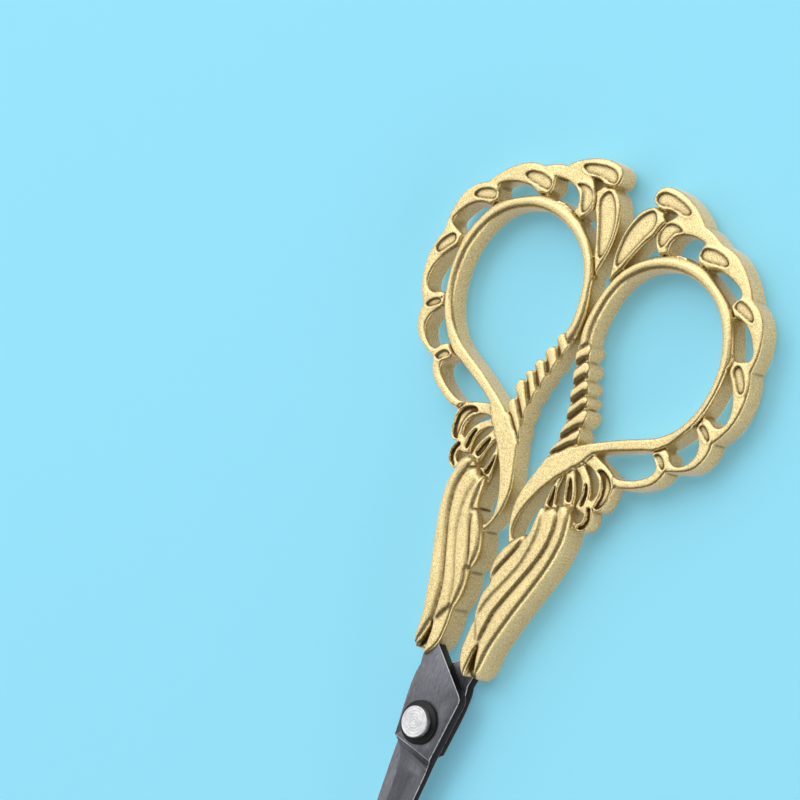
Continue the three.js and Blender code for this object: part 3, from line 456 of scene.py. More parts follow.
def wrap(field: np.ndarray, axes: list[np.ndarray]) -> tuple[np.ndarray, np.ndarray]:
    """Wraps one closed skin of four-sided faces round the places where a field is negative.

    Args:
        field: the values at the grid points, positive all over the outside of the grid.
        axes: the grid lines along X, Y and Z.

    Returns:
        The skin's points, and for each face its four points, anticlockwise seen from outside.
    """
    cells = tuple(n - 1 for n in field.shape)
    number = np.zeros(cells[0] * cells[1] * cells[2])
    sums = np.zeros((3, number.size))
    faces = []
    for axis in range(3):
        others = [(axis + 1) % 3, (axis + 2) % 3]
        near = np.take(field, range(field.shape[axis] - 1), axis)
        far = np.take(field, range(1, field.shape[axis]), axis)
        at = list(np.nonzero((near < 0) != (far < 0)))
        a, b = near[tuple(at)], far[tuple(at)]
        share = a / (a - b)
        place = [axes[k][at[k]] for k in range(3)]
        place[axis] = place[axis] + share * (axes[axis][at[axis] + 1] - axes[axis][at[axis]])
        corners = []
        for first, second in ((-1, -1), (0, -1), (0, 0), (-1, 0)):
            cell = list(at)
            cell[others[0]] = at[others[0]] + first
            cell[others[1]] = at[others[1]] + second
            flat = np.ravel_multi_index(cell, cells)
            corners.append(flat)
            number += np.bincount(flat, minlength=number.size)
            for k in range(3):
                sums[k] += np.bincount(flat, weights=place[k], minlength=number.size)
        ring = np.stack(corners, axis=1)
        faces.append(np.where((a < 0)[:, None], ring, ring[:, ::-1]))
    used = np.nonzero(number)[0]
    renumbered = np.full(number.size, -1)
    renumbered[used] = np.arange(used.size)
    points = (sums[:, used] / number[used]).T
    return points, renumbered[np.vstack(faces)]


def hollowness(points: np.ndarray, faces: np.ndarray, rounds: int) -> np.ndarray:
    """Measures how far each point of a skin lies below the average of the skin around it.

    Args:
        points: the points.
        faces: the four points of each face.
        rounds: how many times the averages are taken; more of them look further round.

    Returns:
        The depth of each point, above 0 in hollows and below 0 on crests.
    """
    ends = np.vstack([faces[:, [k, (k + 1) % 4]] for k in range(4)])
    start, end = ends[:, 0], ends[:, 1]
    count = np.bincount(start, minlength=len(points))
    mean = points
    for _ in range(rounds):
        sums = [np.bincount(start, weights=mean[end, k], minlength=len(points)) for k in range(3)]
        mean = 0.5 * mean + 0.5 * (np.array(sums) / count).T
    across = np.cross(points[faces[:, 2]] - points[faces[:, 0]], points[faces[:, 3]] - points[faces[:, 1]])
    normal = np.zeros_like(points)
    for corner in range(4):
        for k in range(3):
            normal[:, k] += np.bincount(faces[:, corner], weights=across[:, k], minlength=len(points))
    normal /= np.linalg.norm(normal, axis=1, keepdims=True)
    return np.einsum("ij,ij->i", mean - points, normal)


@dataclass
class Form:
    """One raised form of the casting: its distance in plan, its height and the rounding of its edge."""

    plan: np.ndarray
    height: np.ndarray
    rounding: np.ndarray | float

    def field(self, level: float) -> np.ndarray:
        """Signed distance at a level above the middle plane, the same above and below it.

        Args:
            level: the height in millimetres.

        Returns:
            The distance at each point of the grid, negative in the material.
        """
        across = self.plan + self.rounding
        above = abs(level) - self.height + self.rounding
        outside = np.hypot(np.maximum(across, 0), np.maximum(above, 0))
        return np.minimum(np.maximum(across, above), 0) + outside - self.rounding


def blend(a: np.ndarray, b: np.ndarray, fillet: float) -> np.ndarray:
    """Joins two signed distances with a small fillet where the forms meet."""
    near = np.maximum(fillet - np.abs(a - b), 0) / fillet
    return np.minimum(a, b) - near * near * fillet / 4


def mesh_object(name: str, points: np.ndarray, faces: np.ndarray) -> bpy.types.Object:
    """Makes a mesh object at the origin.

    Args:
        name: the object's name.
        points: the points in metres.
        faces: the point numbers of each face.

    Returns:
        The new object, linked to the scene.
    """
    mesh = bpy.data.meshes.new(name)
    mesh.from_pydata(points.tolist(), [], faces.tolist())
    mesh.update()
    made = bpy.data.objects.new(name, mesh)
    bpy.context.scene.collection.objects.link(made)
    return made


def paint_points(piece: bpy.types.Object, name: str, values: np.ndarray) -> None:
    """Stores one value for each point of a piece, for its material to read."""
    attribute = piece.data.attributes.new(name, "FLOAT", "POINT")
    attribute.data.foreach_set("value", np.asarray(values, np.float32))


@dataclass
class CastRelief:
    """The casting of one handle, worked out as a solid with rounded forms. Sizes in millimetres.

    Its rims, strands and stippled pockets flow into each other as cast metal does, which extruded and
    bevelled shapes don't, so it is wrapped in a skin on a fine grid and not modelled from primitives.
    """

    low: tuple[float, float] = (-0.6, 7.9)
    high: tuple[float, float] = (31.3, 84.4)
    step: float = 0.175
    level_share: float = 0.95
    plain_wall: float = 1.15
    spacing: float = 0.12
    ring_top: float = 1.8
    ring_width: float = 2.1
    ring_crown: float = 0.5
    ring_sag: float = 0.26
    crown_start: float = 50.0
    crown_run: float = 4.0
    rope_top: float = 1.88
    flower_top: float = 1.3
    bundle_top: float = 2.6
    core_top: float = 2.3
    core_low: float = 2.25
    swell_start: float = 14.5
    swell_run: float = 3.0
    notch_top: float = 0.9
    ring_rounding: float = 0.42
    rope_rounding: float = 0.28
    flower_rounding: float = 0.24
    bundle_rounding: float = 1.0
    core_rounding: float = 0.45
    fillet: float = 0.1
    pocket_depth: float = 0.2
    hollow_depth: float = 0.42
    pocket_wall: float = 0.16
    rim_rise: float = 0.06
    rim_offset: float = 0.28
    rim_width: float = 0.15
    parting_depth: float = 0.55
    parting_width: float = 0.3
    rope_flat: float = 0.5
    rope_fall: float = 0.62
    rope_margin: float = 0.3
    crease_depth: float = 0.3
    first_crease_width: float = 0.35
    crease_width: float = 0.32
    seam_steep: float = 0.4
    seam_gentle: float = 1.3
    mark_reach: float = 0.3
    mark_fade: float = 0.2
    fine_rounds: int = 12
    broad_rounds: int = 60
    full_crevice: float = 0.09
    full_hollow: float = 0.3

    def levels(self) -> np.ndarray:
        """The grid's heights: close together where faces turn, and wide apart on the plain walls."""
        turning = np.arange(self.plain_wall, self.bundle_top + 2 * self.step, self.step * self.level_share)
        return np.concatenate([-turning[::-1], [0.0], turning])

    def plate(self, sheet: Sheet) -> tuple[Form, np.ndarray]:
        """The pierced ring, border, petals and flower, with the twisted rope.

        Args:
            sheet: the grid.

        Returns:
            The form, with its pockets, hollows and partings let into it, and how far each grid point lies in a
            stippled pocket, from 0 to 1.
        """
        loops = [chain(runs, self.spacing) for runs in [OUTER_RUNS, FINGER_HOLE, *BORDER_AND_FLOWER_HOLES]]
        height = np.full((len(sheet.x), len(sheet.y)), self.ring_top)
        rounding = np.full_like(height, self.ring_rounding)
        pockets = np.zeros_like(height)

        across = sheet.outline([chain(FINGER_HOLE, self.spacing)]) / self.ring_width
        crown = self.ring_crown * (1 - (2 * across - 1) ** 2) - self.ring_sag
        above_shank = ease((sheet.y - self.crown_start) / self.crown_run)[None, :]
        height += np.where((across > 0) & (across < 1), crown, 0) * above_shank

        bed = sheet.outline([chain([FLOWER_BED + FLOWER_BED[:1]], self.spacing)])
        height -= self.ring_rounding * rounded_fall(bed / self.ring_rounding)
        height[bed < 0] = self.flower_top
        rounding[bed < 0] = self.flower_rounding
        for points in POCKETS:
            edge = sheet.outline([spline(points, self.spacing, closed=True)])
            pockets = np.maximum(pockets, self.sink(height, edge, self.pocket_depth))
        for points in FLOWER_HOLLOWS:
            edge = sheet.outline([spline(points, self.spacing, closed=True)])
            self.sink(height, edge, self.hollow_depth)
        for points in PARTINGS:
            away = sheet.nearest(spline(points, self.spacing)).distance
            height -= self.parting_depth * (1 - ease(away / self.parting_width))
        self.twist(sheet, height, rounding)
        height[sheet.inside([chain(CORE_RUNS, self.spacing)])] = self.notch_top
        height[sheet.inside([spline(END_NOTCH, self.spacing, closed=True)])] = self.notch_top
        return Form(sheet.outline(loops), height, rounding), pockets

    def twist(self, sheet: Sheet, height: np.ndarray, rounding: np.ndarray) -> None:
        """Turns the shank into a rope: each strand lies flat at its upper line and falls away to the next.

        Args:
            sheet: the grid.
            height: the height to change.
            rounding: the rounding of the edges, to change as well.
        """
        lines = [spline(points, self.spacing) for points in ROPE_LINES]
        away = [sheet.nearest(line).distance for line in lines]
        height -= self.crease_depth * (1 - ease(away[0] / self.first_crease_width))
        rope = away[0] < self.rope_margin
        for above, below, upper, lower in zip(away, away[1:], lines, lines[1:]):
            strand = sheet.inside([np.vstack([upper, lower[::-1]])])
            share = above / (above + below + 1e-6)
            fall = self.rope_fall * ease((share - self.rope_flat) / (1 - self.rope_flat))
            crease = self.crease_depth * (1 - ease(above / self.crease_width))
            height[strand] = (self.rope_top - fall - crease)[strand]
            rounding[strand] = self.rope_rounding
            rope |= strand | (below < self.rope_margin)
        height[rope] = soften(height)[rope]

    def sink(self, height: np.ndarray, edge: np.ndarray, depth: float) -> np.ndarray:
        """Sinks a pocket with a fine raised rim.

        Args:
            height: the height to change.
            edge: the signed distance to the pocket's edge, negative in the pocket.
            depth: how deep its floor lies.

        Returns:
            How far each grid point lies in the pocket, from 0 to 1.
        """
        floor = ease((self.pocket_wall / 2 - edge) / self.pocket_wall)
        rim = np.exp(-(((edge - self.rim_offset) / self.rim_width) ** 2))
        height += self.rim_rise * rim * (1 - floor) - depth * floor
        return floor

    def bundle(self, sheet: Sheet) -> Form:
        """The bundle of feather strands, each overlapping the next one out like a shingle.

        Args:
            sheet: the grid.

        Returns:
            The form, lowered along the seam lines between its strands.
        """
        height = np.full((len(sheet.x), len(sheet.y)), self.bundle_top)
        lowest = np.zeros_like(height)
        for points, depth in FEATHER_SEAMS:
            found = sheet.nearest(spline(points, self.spacing))
            reach = np.where(found.side > 0, self.seam_steep, self.seam_gentle)
            lowest = np.maximum(lowest, depth * rounded_fall(found.distance / reach))
        plan = sheet.outline([chain(BUNDLE_RUNS, self.spacing)])
        return Form(plan, height - soften(lowest), self.bundle_rounding)

    def core(self, sheet: Sheet) -> Form:
        """The smooth core between the tips of the strands and the end of the handle.

        Args:
            sheet: the grid.

        Returns:
            The form, a little higher toward the end.
        """
        swell = (self.core_top - self.core_low) * ease((self.swell_start - sheet.y) / self.swell_run)
        height = np.full((len(sheet.x), len(sheet.y)), self.core_low) + swell[None, :]
        return Form(sheet.outline([chain(CORE_RUNS, self.spacing)]), height, self.core_rounding)

    def on_skin(self, sheet: Sheet, values: np.ndarray, points: np.ndarray) -> np.ndarray:
        """Reads values of the grid at the points of the skin, evenly blended between grid points.

        Args:
            sheet: the grid.
            values: the values at the grid points.
            points: the skin's points.

        Returns:
            The value at each point of the skin.
        """
        beyond_last_cell = 1.001
        near = [np.clip((points[:, k] - line[0]) / self.step, 0, len(line) - beyond_last_cell)
                for k, line in enumerate((sheet.x, sheet.y))]
        i, j = (nearby.astype(int) for nearby in near)
        u, v = near[0] - i, near[1] - j
        return ((1 - u) * (1 - v) * values[i, j] + u * (1 - v) * values[i + 1, j]
                + (1 - u) * v * values[i, j + 1] + u * v * values[i + 1, j + 1])

    def cast(self) -> Skin:
        """Wraps the whole casting.

        Returns:
            The points in millimetres, the faces, and for each point how far it lies in a pocket, in a
            crevice and in a wide hollow.
        """
        sheet = Sheet(self.low, self.high, self.step)
        plate, pockets = self.plate(sheet)
        others = [self.bundle(sheet), self.core(sheet)]
        levels = self.levels()
        layers = []
        for level in levels:
            layer = plate.field(level)
            for form in others:
                layer = blend(layer, form.field(level), self.fillet)
            layers.append(layer)
        field = np.stack(layers, axis=2)
        untangle(field)
        points, faces = wrap(field, [sheet.x, sheet.y, levels])

        above_walls = np.abs(points[:, 2]) - self.ring_top + self.pocket_depth + self.mark_reach
        # The crevice and hollow depths feed the gold finish's painted shade.
        crevice = hollowness(points, faces, self.fine_rounds) / self.full_crevice
        hollow = hollowness(points, faces, self.broad_rounds) / self.full_hollow
        marks = {
            "pocket": self.on_skin(sheet, pockets, points) * ease(above_walls / self.mark_fade),
            "crevice": np.clip(crevice, 0, 1),
            "hollow": np.clip(hollow, 0, 1),
        }
        return points, faces, marks


@dataclass
class Graph:
    """Fills a node tree, each new node linked to the ones it reads."""

    tree: bpy.types.NodeTree

    def give(self, node: bpy.types.Node, inputs: Inputs) -> None:
        """Sets a node's inputs, or links them where another node's socket is given.

        Args:
            node: the node.
            inputs: a value or a socket for each input, by name or number.
        """
        for key, value in inputs.items():
            if isinstance(value, Socket):
                self.tree.links.new(value, node.inputs[key])
            else:
                node.inputs[key].default_value = value

    def add(self, kind: str, inputs: Inputs | None = None, **settings: object) -> bpy.types.Node:
        """Adds one node.

        Args:
            kind: the node's type, without the words ShaderNode in front.
            inputs: a value or another node's socket for each input, by name or number.
            settings: the node's own settings.

        Returns:
            The node.
        """
        node = self.tree.nodes.new("ShaderNode" + kind)
        for name, value in settings.items():
            setattr(node, name, value)
        self.give(node, inputs or {})
        return node

    def math(self, operation: str, *values: Value) -> Socket:
        """One step of arithmetic on values or sockets."""
        return self.add("Math", dict(enumerate(values)), operation=operation).outputs[0]

    def plus(self, first: Value, second: Value) -> Socket:
        """The sum of two values."""
        return self.math("ADD", first, second)

    def times(self, first: Value, second: Value) -> Socket:
        """The product of two values."""
        return self.math("MULTIPLY", first, second)

    def limited(self, value: Value, low: float, high: float) -> Socket:
        """A value spread from 0 to 1 between two limits, and held there beyond them."""
        inputs = {"Value": value, "From Min": low, "From Max": high}
        return self.add("MapRange", inputs, clamp=True).outputs[0]

    def mixed(self, share: Value, first: Value, second: Value) -> Socket:
        """A colour between two others; 6 and 7 are the node's colour inputs and 2 its colour output."""
        return self.add("Mix", {0: share, 6: first, 7: second}, data_type="RGBA").outputs[2]

    def noise(self, vector: Socket, size: float, detail: float = 2.0) -> Socket:
        """Noise from 0 to 1 whose grains are about the size given, in the units of the vector."""
        inputs = {"Vector": vector, "Scale": 1 / size, "Detail": detail}
        return self.add("TexNoise", inputs).outputs[0]

    def stretched(self, vector: Socket, scale: Triple) -> Socket:
        """Coordinates stretched along their axes."""
        return self.add("Mapping", {"Vector": vector, "Scale": scale}).outputs[0]

    def stored(self, name: str) -> Socket:
        """A value stored on the mesh."""
        return self.add("Attribute", attribute_name=name).outputs["Fac"]

    def coordinates(self) -> Socket:
        """The piece's own coordinates."""
        return self.add("TexCoord").outputs["Object"]

    def placed(self, group: bpy.types.NodeTree, inputs: Inputs) -> dict[str, Socket]:
        """Places a shared effect with its own values, and gives its outputs."""
        return self.add("Group", inputs, node_tree=group).outputs

    def bump(self, height: Socket, distance: float, normal: Socket | None = None,
             invert: bool = False) -> Socket:
        """Turns a height into a normal.

        Args:
            height: the height from 0 to 1.
            distance: how high 1 stands, in metres.
            normal: the normal of another bump that it adds to.
            invert: whether the height goes inwards.

        Returns:
            The normal.
        """
        inputs = {"Height": height, "Distance": distance}
        if normal is not None:
            inputs["Normal"] = normal
        return self.add("Bump", inputs, invert=invert).outputs[0]


def effect(name: str, given: dict[str, str],
           made: list[str]) -> tuple[Graph, dict[str, Socket], bpy.types.Node]:
    """Starts a shared effect as a node group.

    Args:
        name: the group's name.
        given: its inputs, each with Float or Vector.
        made: its outputs, all of them values.

    Returns:
        The group's graph, the sockets that carry its inputs and the node that takes its outputs.
    """
    tree = bpy.data.node_groups.new(name, "ShaderNodeTree")
    for direction, sockets in (("INPUT", given), ("OUTPUT", dict.fromkeys(made, "Float"))):
        for label, kind in sockets.items():
            tree.interface.new_socket(label, in_out=direction, socket_type="NodeSocket" + kind)
    entry = tree.nodes.new("NodeGroupInput")
    leave = tree.nodes.new("NodeGroupOutput")
    return Graph(tree), entry.outputs, leave


def cast_grain() -> bpy.types.NodeTree:
    """The fine grain of paint over cast metal, with a slow drift of its tone.

    Returns:
        The group. Its noise is measured in grains, so that one size sets all of it.
    """
    graph, given, leave = effect("cast_grain", {"Vector": "Vector", "Size": "Float"},
                                 ["Height", "Speckle", "Drift"])
    per_metre = graph.math("DIVIDE", 1.0, given["Size"])
    scaling = {0: given["Vector"], "Scale": per_metre}
    in_grains = graph.add("VectorMath", scaling, operation="SCALE").outputs[0]
    fine = graph.noise(in_grains, size=1.0, detail=3.0)
    coarse = graph.noise(in_grains, size=2.6, detail=1.0)
    coarse_share = 0.8
    graph.give(leave, {
        "Height": graph.plus(fine, graph.times(coarse, coarse_share)),
        "Speckle": graph.limited(graph.noise(in_grains, size=0.8, detail=1.0), low=0.3, high=0.7),
        "Drift": graph.limited(graph.noise(in_grains, size=30.0, detail=2.0), low=0.3, high=0.7),
    })
    return graph.tree


def brush_marks() -> bpy.types.NodeTree:
    """Fine streaks along Y, as an abrasive belt leaves them.

    Returns:
        The group. Its streaks are counted per metre, across the piece and along it.
    """
    graph, given, leave = effect("brush_marks", {"Vector": "Vector"}, ["Streaks", "Scratches"])

    def streaks(across: float, along: float, detail: float) -> Socket:
        """Noise drawn out along Y."""
        return graph.noise(graph.stretched(given["Vector"], (across, along, across)), size=1.0, detail=detail)

    fine_share = 0.6
    fine = graph.times(streaks(across=7000, along=1300, detail=3.0), fine_share)
    broad = graph.times(streaks(across=2600, along=420, detail=2.0), 1 - fine_share)
    rare = streaks(across=5200, along=500, detail=1.0)
    graph.give(leave, {
        "Streaks": graph.limited(graph.plus(fine, broad), low=0.3, high=0.7),
        "Scratches": graph.limited(rare, low=0.64, high=0.72),
    })
    return graph.tree


def edge_wear_and_highlight() -> bpy.types.NodeTree:
    """Where a finish has rubbed through along edges, broken up by noise; on the blades it also stands as a
    painted highlight.

    Returns:
        The group.
    """
    graph, given, leave = effect("edge_wear_and_highlight", {"Edge": "Float", "Vector": "Vector"}, ["Worn"])
    patches = graph.noise(given["Vector"], size=0.0006, detail=3.0)
    graph.give(leave, {"Worn": graph.limited(graph.times(given["Edge"], patches), low=0.25, high=0.5)})
    return graph.tree


@dataclass
class Effects:
    """The node groups that the finishes share."""

    grain: bpy.types.NodeTree
    brushing: bpy.types.NodeTree
    shared_wear_and_highlight: bpy.types.NodeTree


def start_finish(name: str, metallic: float) -> tuple[bpy.types.Material, Graph, bpy.types.Node]:
    """Makes an empty material with its shader.

    Args:
        name: the material's name.
        metallic: how metallic its surface is, from 0 to 1.

    Returns:
        The material, its graph and its shader.
    """
    material = bpy.data.materials.new(name)
    material.use_nodes = True
    shader = material.node_tree.nodes["Principled BSDF"]
    shader.inputs["Metallic"].default_value = metallic
    return material, Graph(material.node_tree), shader


@dataclass(frozen=True)
class GoldPaint:
    """Satin gold paint, stippled in pockets, with painted shade in crevices, seam lines, hollows and dimples.
    Sizes in metres.
    """

    plain: Color = (0.38, 0.27, 0.059, 1)
    bright: Color = (0.93, 0.725, 0.285, 1)
    shade: Color = (0.12, 0.07, 0.02, 1)
    drift_shade: float = 0.12
    crevice_shade: float = 1.3
    hollow_shade: float = 0.35
    dimple_shade: float = 0.2
    metallic: float = 0.9
    roughness: float = 0.3
    speckle_roughness: float = 0.12
    sunk_roughness: float = 0.15
    coat: float = 1.0
    coat_ior: float = 2.0
    coat_roughness: float = 0.34
    grain: float = 0.0002
    grain_depth: float = 0.000014
    stipple: float = 0.00024
    stipple_edge: tuple[float, float] = (0.1, 0.55)
    stipple_depth: float = 0.00003

    def material(self, effects: Effects) -> bpy.types.Material:
        """Builds the material.

        Args:
            effects: the shared node groups.

        Returns:
            The material.
        """
        material, graph, shader = start_finish("satin_gold_paint", self.metallic)
        spot = graph.coordinates()
        grain = graph.placed(effects.grain, {"Vector": spot, "Size": self.grain})
        pocket, crevice, hollow = (graph.stored(name) for name in ("pocket", "crevice", "hollow"))
        drift = graph.times(grain["Drift"], self.drift_shade)
        # Painted shade: crevices and hollows of the casting are darkened by how deep they lie.
        crevice_painted_shade = graph.plus(graph.times(crevice, self.crevice_shade), graph.times(hollow, self.hollow_shade))
        painted_shade_and_drift = graph.math("MAXIMUM", crevice_painted_shade, drift)
        cells = graph.add("TexVoronoi", {"Vector": spot, "Scale": 1 / self.stipple})
        dots = graph.limited(cells.outputs["Distance"], *self.stipple_edge)
        dimples = graph.times(pocket, graph.math("SUBTRACT", 1.0, dots))

        color = graph.mixed(grain["Speckle"], self.plain, self.bright)
        # Painted shade in the crevices and hollows, together with the slow random drift of tone.
        color = graph.mixed(painted_shade_and_drift, color, self.shade)
        # Painted shade in the stipple's dimples, on top of their bump.
        color = graph.mixed(graph.times(dimples, self.dimple_shade), color, self.shade)
        rough = graph.plus(self.roughness, graph.times(grain["Speckle"], self.speckle_roughness))
        # The coat is thinned in the crevices as well, as painted shade on its gloss.
        coat = graph.math("SUBTRACT", self.coat, graph.times(crevice_painted_shade, self.coat))
        fine = graph.bump(grain["Height"], self.grain_depth)
        graph.give(shader, {
            "Base Color": color,
            "Roughness": graph.plus(rough, graph.times(painted_shade_and_drift, self.sunk_roughness)),
            "Coat Weight": graph.limited(coat, 0.0, 1.0),
            "Coat IOR": self.coat_ior,
            "Coat Roughness": self.coat_roughness,
            "Normal": graph.bump(dimples, self.stipple_depth, normal=fine, invert=True),
        })
        return material


@dataclass(frozen=True)
class DarkSteel:
    """Blackened steel with belt marks along the blade and thinly rubbed edges, which are lightened also as
    painted highlight, and with painted shade darkening the side walls. Sizes in metres.
    """

    plain: Color = (0.085, 0.087, 0.102, 1)
    pale: Color = (0.19, 0.195, 0.215, 1)
    worn: Color = (0.5, 0.51, 0.53, 1)
    painted_wall_shade: Color = (0.010, 0.010, 0.012, 1)
    scratch_share: float = 0.15
    metallic: float = 0.8
    wear_and_highlight_metallic_loss: float = 0.4
    roughness: float = 0.4
    streak_roughness: float = 0.14
    streak_depth: float = 0.000006

    def material(self, effects: Effects) -> bpy.types.Material:
        """Builds the material.

        Args:
            effects: the shared node groups.

        Returns:
            The material.
        """
        material, graph, shader = start_finish("blackened_steel", self.metallic)
        spot = graph.coordinates()
        marks = graph.placed(effects.brushing, {"Vector": spot})
        worn = graph.placed(effects.shared_wear_and_highlight, {"Vector": spot, "Edge": graph.stored("edge")})["Worn"]

        color = graph.mixed(marks["Streaks"], self.plain, self.pale)
        color = graph.mixed(graph.times(marks["Scratches"], self.scratch_share), color, self.worn)
        # Painted shade: the blade's upright side walls are darkened toward this colour.
        color = graph.mixed(graph.stored("wall"), color, self.painted_wall_shade)
        graph.give(shader, {
            # Painted highlight with rubbing: the rounded edges are lightened and made less metallic, so they
            # catch the light as a bright line.
            "Base Color": graph.mixed(worn, color, self.worn),
            "Metallic": graph.math("SUBTRACT", self.metallic, graph.times(worn, self.wear_and_highlight_metallic_loss)),
            "Roughness": graph.plus(self.roughness, graph.times(marks["Streaks"], self.streak_roughness)),
            "Normal": graph.bump(marks["Streaks"], self.streak_depth),
        })
        return material


@dataclass(frozen=True)
class BrightSteel:
    """Turned bright steel with fine rings left by the tool. Sizes in metres."""

    plain: Color = (0.68, 0.68, 0.68, 1)
    dull: Color = (0.4, 0.4, 0.41, 1)
    metallic: float = 0.95
    roughness: float = 0.3
    ring_pitch: float = 0.00016
    ring_depth: float = 0.000007
    ring_share: float = 0.35
    wobble: float = 4.0
    wobble_size: float = 0.0007
    blotch_size: float = 0.0005
    blotch_share: float = 0.45
    blotch_roughness: float = 0.2
    grain: float = 0.0001

    def material(self, effects: Effects) -> bpy.types.Material:
        """Builds the material.

        Args:
            effects: the shared node groups.

        Returns:
            The material.
        """
        material, graph, shader = start_finish("turned_bright_steel", self.metallic)
        spot = graph.coordinates()
        from_axis = graph.add("VectorMath", {0: spot, 1: tuple(PIVOT)}, operation="SUBTRACT").outputs[0]
        parts = graph.add("SeparateXYZ", {0: from_axis}).outputs
        squares = [graph.math("POWER", parts[axis], 2.0) for axis in (0, 1)]
        turns = graph.times(graph.math("SQRT", graph.plus(*squares)), math.tau / self.ring_pitch)
        wobble = graph.times(graph.noise(spot, self.wobble_size), self.wobble)
        rings = graph.limited(graph.math("SINE", graph.plus(turns, wobble)), -1.0, 1.0)
        blotch = graph.limited(graph.noise(spot, self.blotch_size, detail=4.0), low=0.35, high=0.65)
        grain = graph.placed(effects.grain, {"Vector": spot, "Size": self.grain})

        color = graph.mixed(graph.times(rings, self.ring_share), self.plain, self.dull)
        turned_normal = graph.bump(rings, self.ring_depth)
        graph.give(shader, {
            "Base Color": graph.mixed(graph.times(blotch, self.blotch_share), color, self.dull),
            "Roughness": graph.plus(self.roughness, graph.times(blotch, self.blotch_roughness)),
            "Normal": graph.bump(grain["Height"], self.ring_depth, normal=turned_normal),
        })
        return material


@dataclass(frozen=True)
class BlackPaintAndShade:
    """Black satin paint on the washer, rubbed thin along its rim, whose very dark tone also stands in for the
    contact shadow round the rivet's head. Sizes in metres.
    """

    # The very dark plain tone is partly painted shade, standing in for the contact shadow round the rivet's
    # head.
    plain: Color = (0.006, 0.006, 0.007, 1)
    dusty: Color = (0.022, 0.022, 0.024, 1)
    metallic: float = 0.2
    roughness: float = 0.45
    speckle_roughness: float = 0.12
    specular: float = 0.25
    grain: float = 0.0001
    grain_depth: float = 0.000012

    def material(self, effects: Effects) -> bpy.types.Material:
        """Builds the material.

        Args:
            effects: the shared node groups.

        Returns:
            The material.
        """
        material, graph, shader = start_finish("black_paint_and_shade", self.metallic)
        spot = graph.coordinates()
        grain = graph.placed(effects.grain, {"Vector": spot, "Size": self.grain})
        worn = graph.placed(effects.shared_wear_and_highlight, {"Vector": spot, "Edge": graph.stored("edge")})["Worn"]
        color = graph.mixed(grain["Drift"], self.plain, self.dusty)
        graph.give(shader, {
            "Base Color": graph.mixed(worn, color, self.dusty),
            "Roughness": graph.plus(self.roughness, graph.times(grain["Speckle"], self.speckle_roughness)),
            "Specular IOR Level": self.specular,
            "Normal": graph.bump(grain["Height"], self.grain_depth),
        })
        return material


def only(piece: bpy.types.Object) -> None:
    """Selects one object and nothing else, and makes it the active one.

    Args:
        piece: the object.
    """
    bpy.ops.object.select_all(action="DESELECT")
    piece.select_set(True)
    bpy.context.view_layer.objects.active = piece


@contextmanager
def editing(piece: bpy.types.Object, mode: str = "FACE") -> Iterator[None]:
    """Opens a piece in edit mode with everything selected, and closes it again.

    Args:
        piece: the piece.
        mode: VERT, EDGE or FACE selection.
    """
    only(piece)
    bpy.ops.object.mode_set(mode="EDIT")
    bpy.ops.mesh.select_mode(type=mode)
    bpy.ops.mesh.select_all(action="SELECT")
    yield
    bpy.ops.object.mode_set(mode="OBJECT")


def apply_modifier(piece: bpy.types.Object, kind: str, **settings: object) -> None:
    """Adds a modifier and applies it.

    Args:
        piece: the piece.
        kind: the modifier's type.
        settings: the modifier's own settings.
    """
    only(piece)
    modifier = piece.modifiers.new(kind.lower(), kind)
    for name, value in settings.items():
        setattr(modifier, name, value)
    bpy.ops.object.modifier_apply(modifier=modifier.name)


def cut_away(piece: bpy.types.Object, cutter: bpy.types.Object) -> None:
    """Takes one solid out of another and removes the cutter."""
    apply_modifier(piece, "BOOLEAN", operation="DIFFERENCE", solver="EXACT", object=cutter)
    bpy.data.objects.remove(cutter)


def round_edges(piece: bpy.types.Object, width: float, segments: int,
                keen: Callable[[Vector], bool] = lambda middle: False) -> None:
    """Rounds the sharp edges of a piece and marks the rounded faces as its edges.

    Args:
        piece: the piece, whose first material is its finish.
        width: how much of each face the rounding takes, in millimetres.
        segments: how many faces across the rounding.
        keen: tells from the middle of an edge whether it stays sharp.
    """
    form = bmesh.new()
    form.from_mesh(piece.data)
    broken = [edge.is_manifold and edge.calc_face_angle() > SHARP_ANGLE
              and not keen((edge.verts[0].co + edge.verts[1].co) / 2) for edge in form.edges]
    form.free()
    weights = piece.data.attributes.new("bevel_weight_edge", "FLOAT", "EDGE")
    weights.data.foreach_set("value", np.array(broken, np.float32))
    piece.data.materials.append(piece.data.materials[0])
    apply_modifier(piece, "BEVEL", width=width * MM, segments=segments, limit_method="WEIGHT",
                   material=1, harden_normals=True, use_clamp_overlap=False)
    rounded = np.zeros(len(piece.data.polygons), np.int32)
    piece.data.polygons.foreach_get("material_index", rounded)
    # Upright faces are marked as walls; the dark steel finish darkens them as painted shade.
    upright = np.abs(np.array([face.normal.z for face in piece.data.polygons])) < WALL_LEAN
    for label, share in (("edge", rounded), ("wall", upright & (rounded == 0))):
        attribute = piece.data.attributes.new(label, "FLOAT", "FACE")
        attribute.data.foreach_set("value", share.astype(np.float32))
    piece.data.polygons.foreach_set("material_index", np.zeros(len(rounded), np.int32))
    piece.data.materials.pop(index=1)
    only(piece)
    bpy.ops.object.shade_smooth()


def place(points: np.ndarray | list) -> np.ndarray:
    """Moves points from millimetres round the pivot to metres in the frame."""
    return np.asarray(points, float) * MM + np.array(PIVOT)


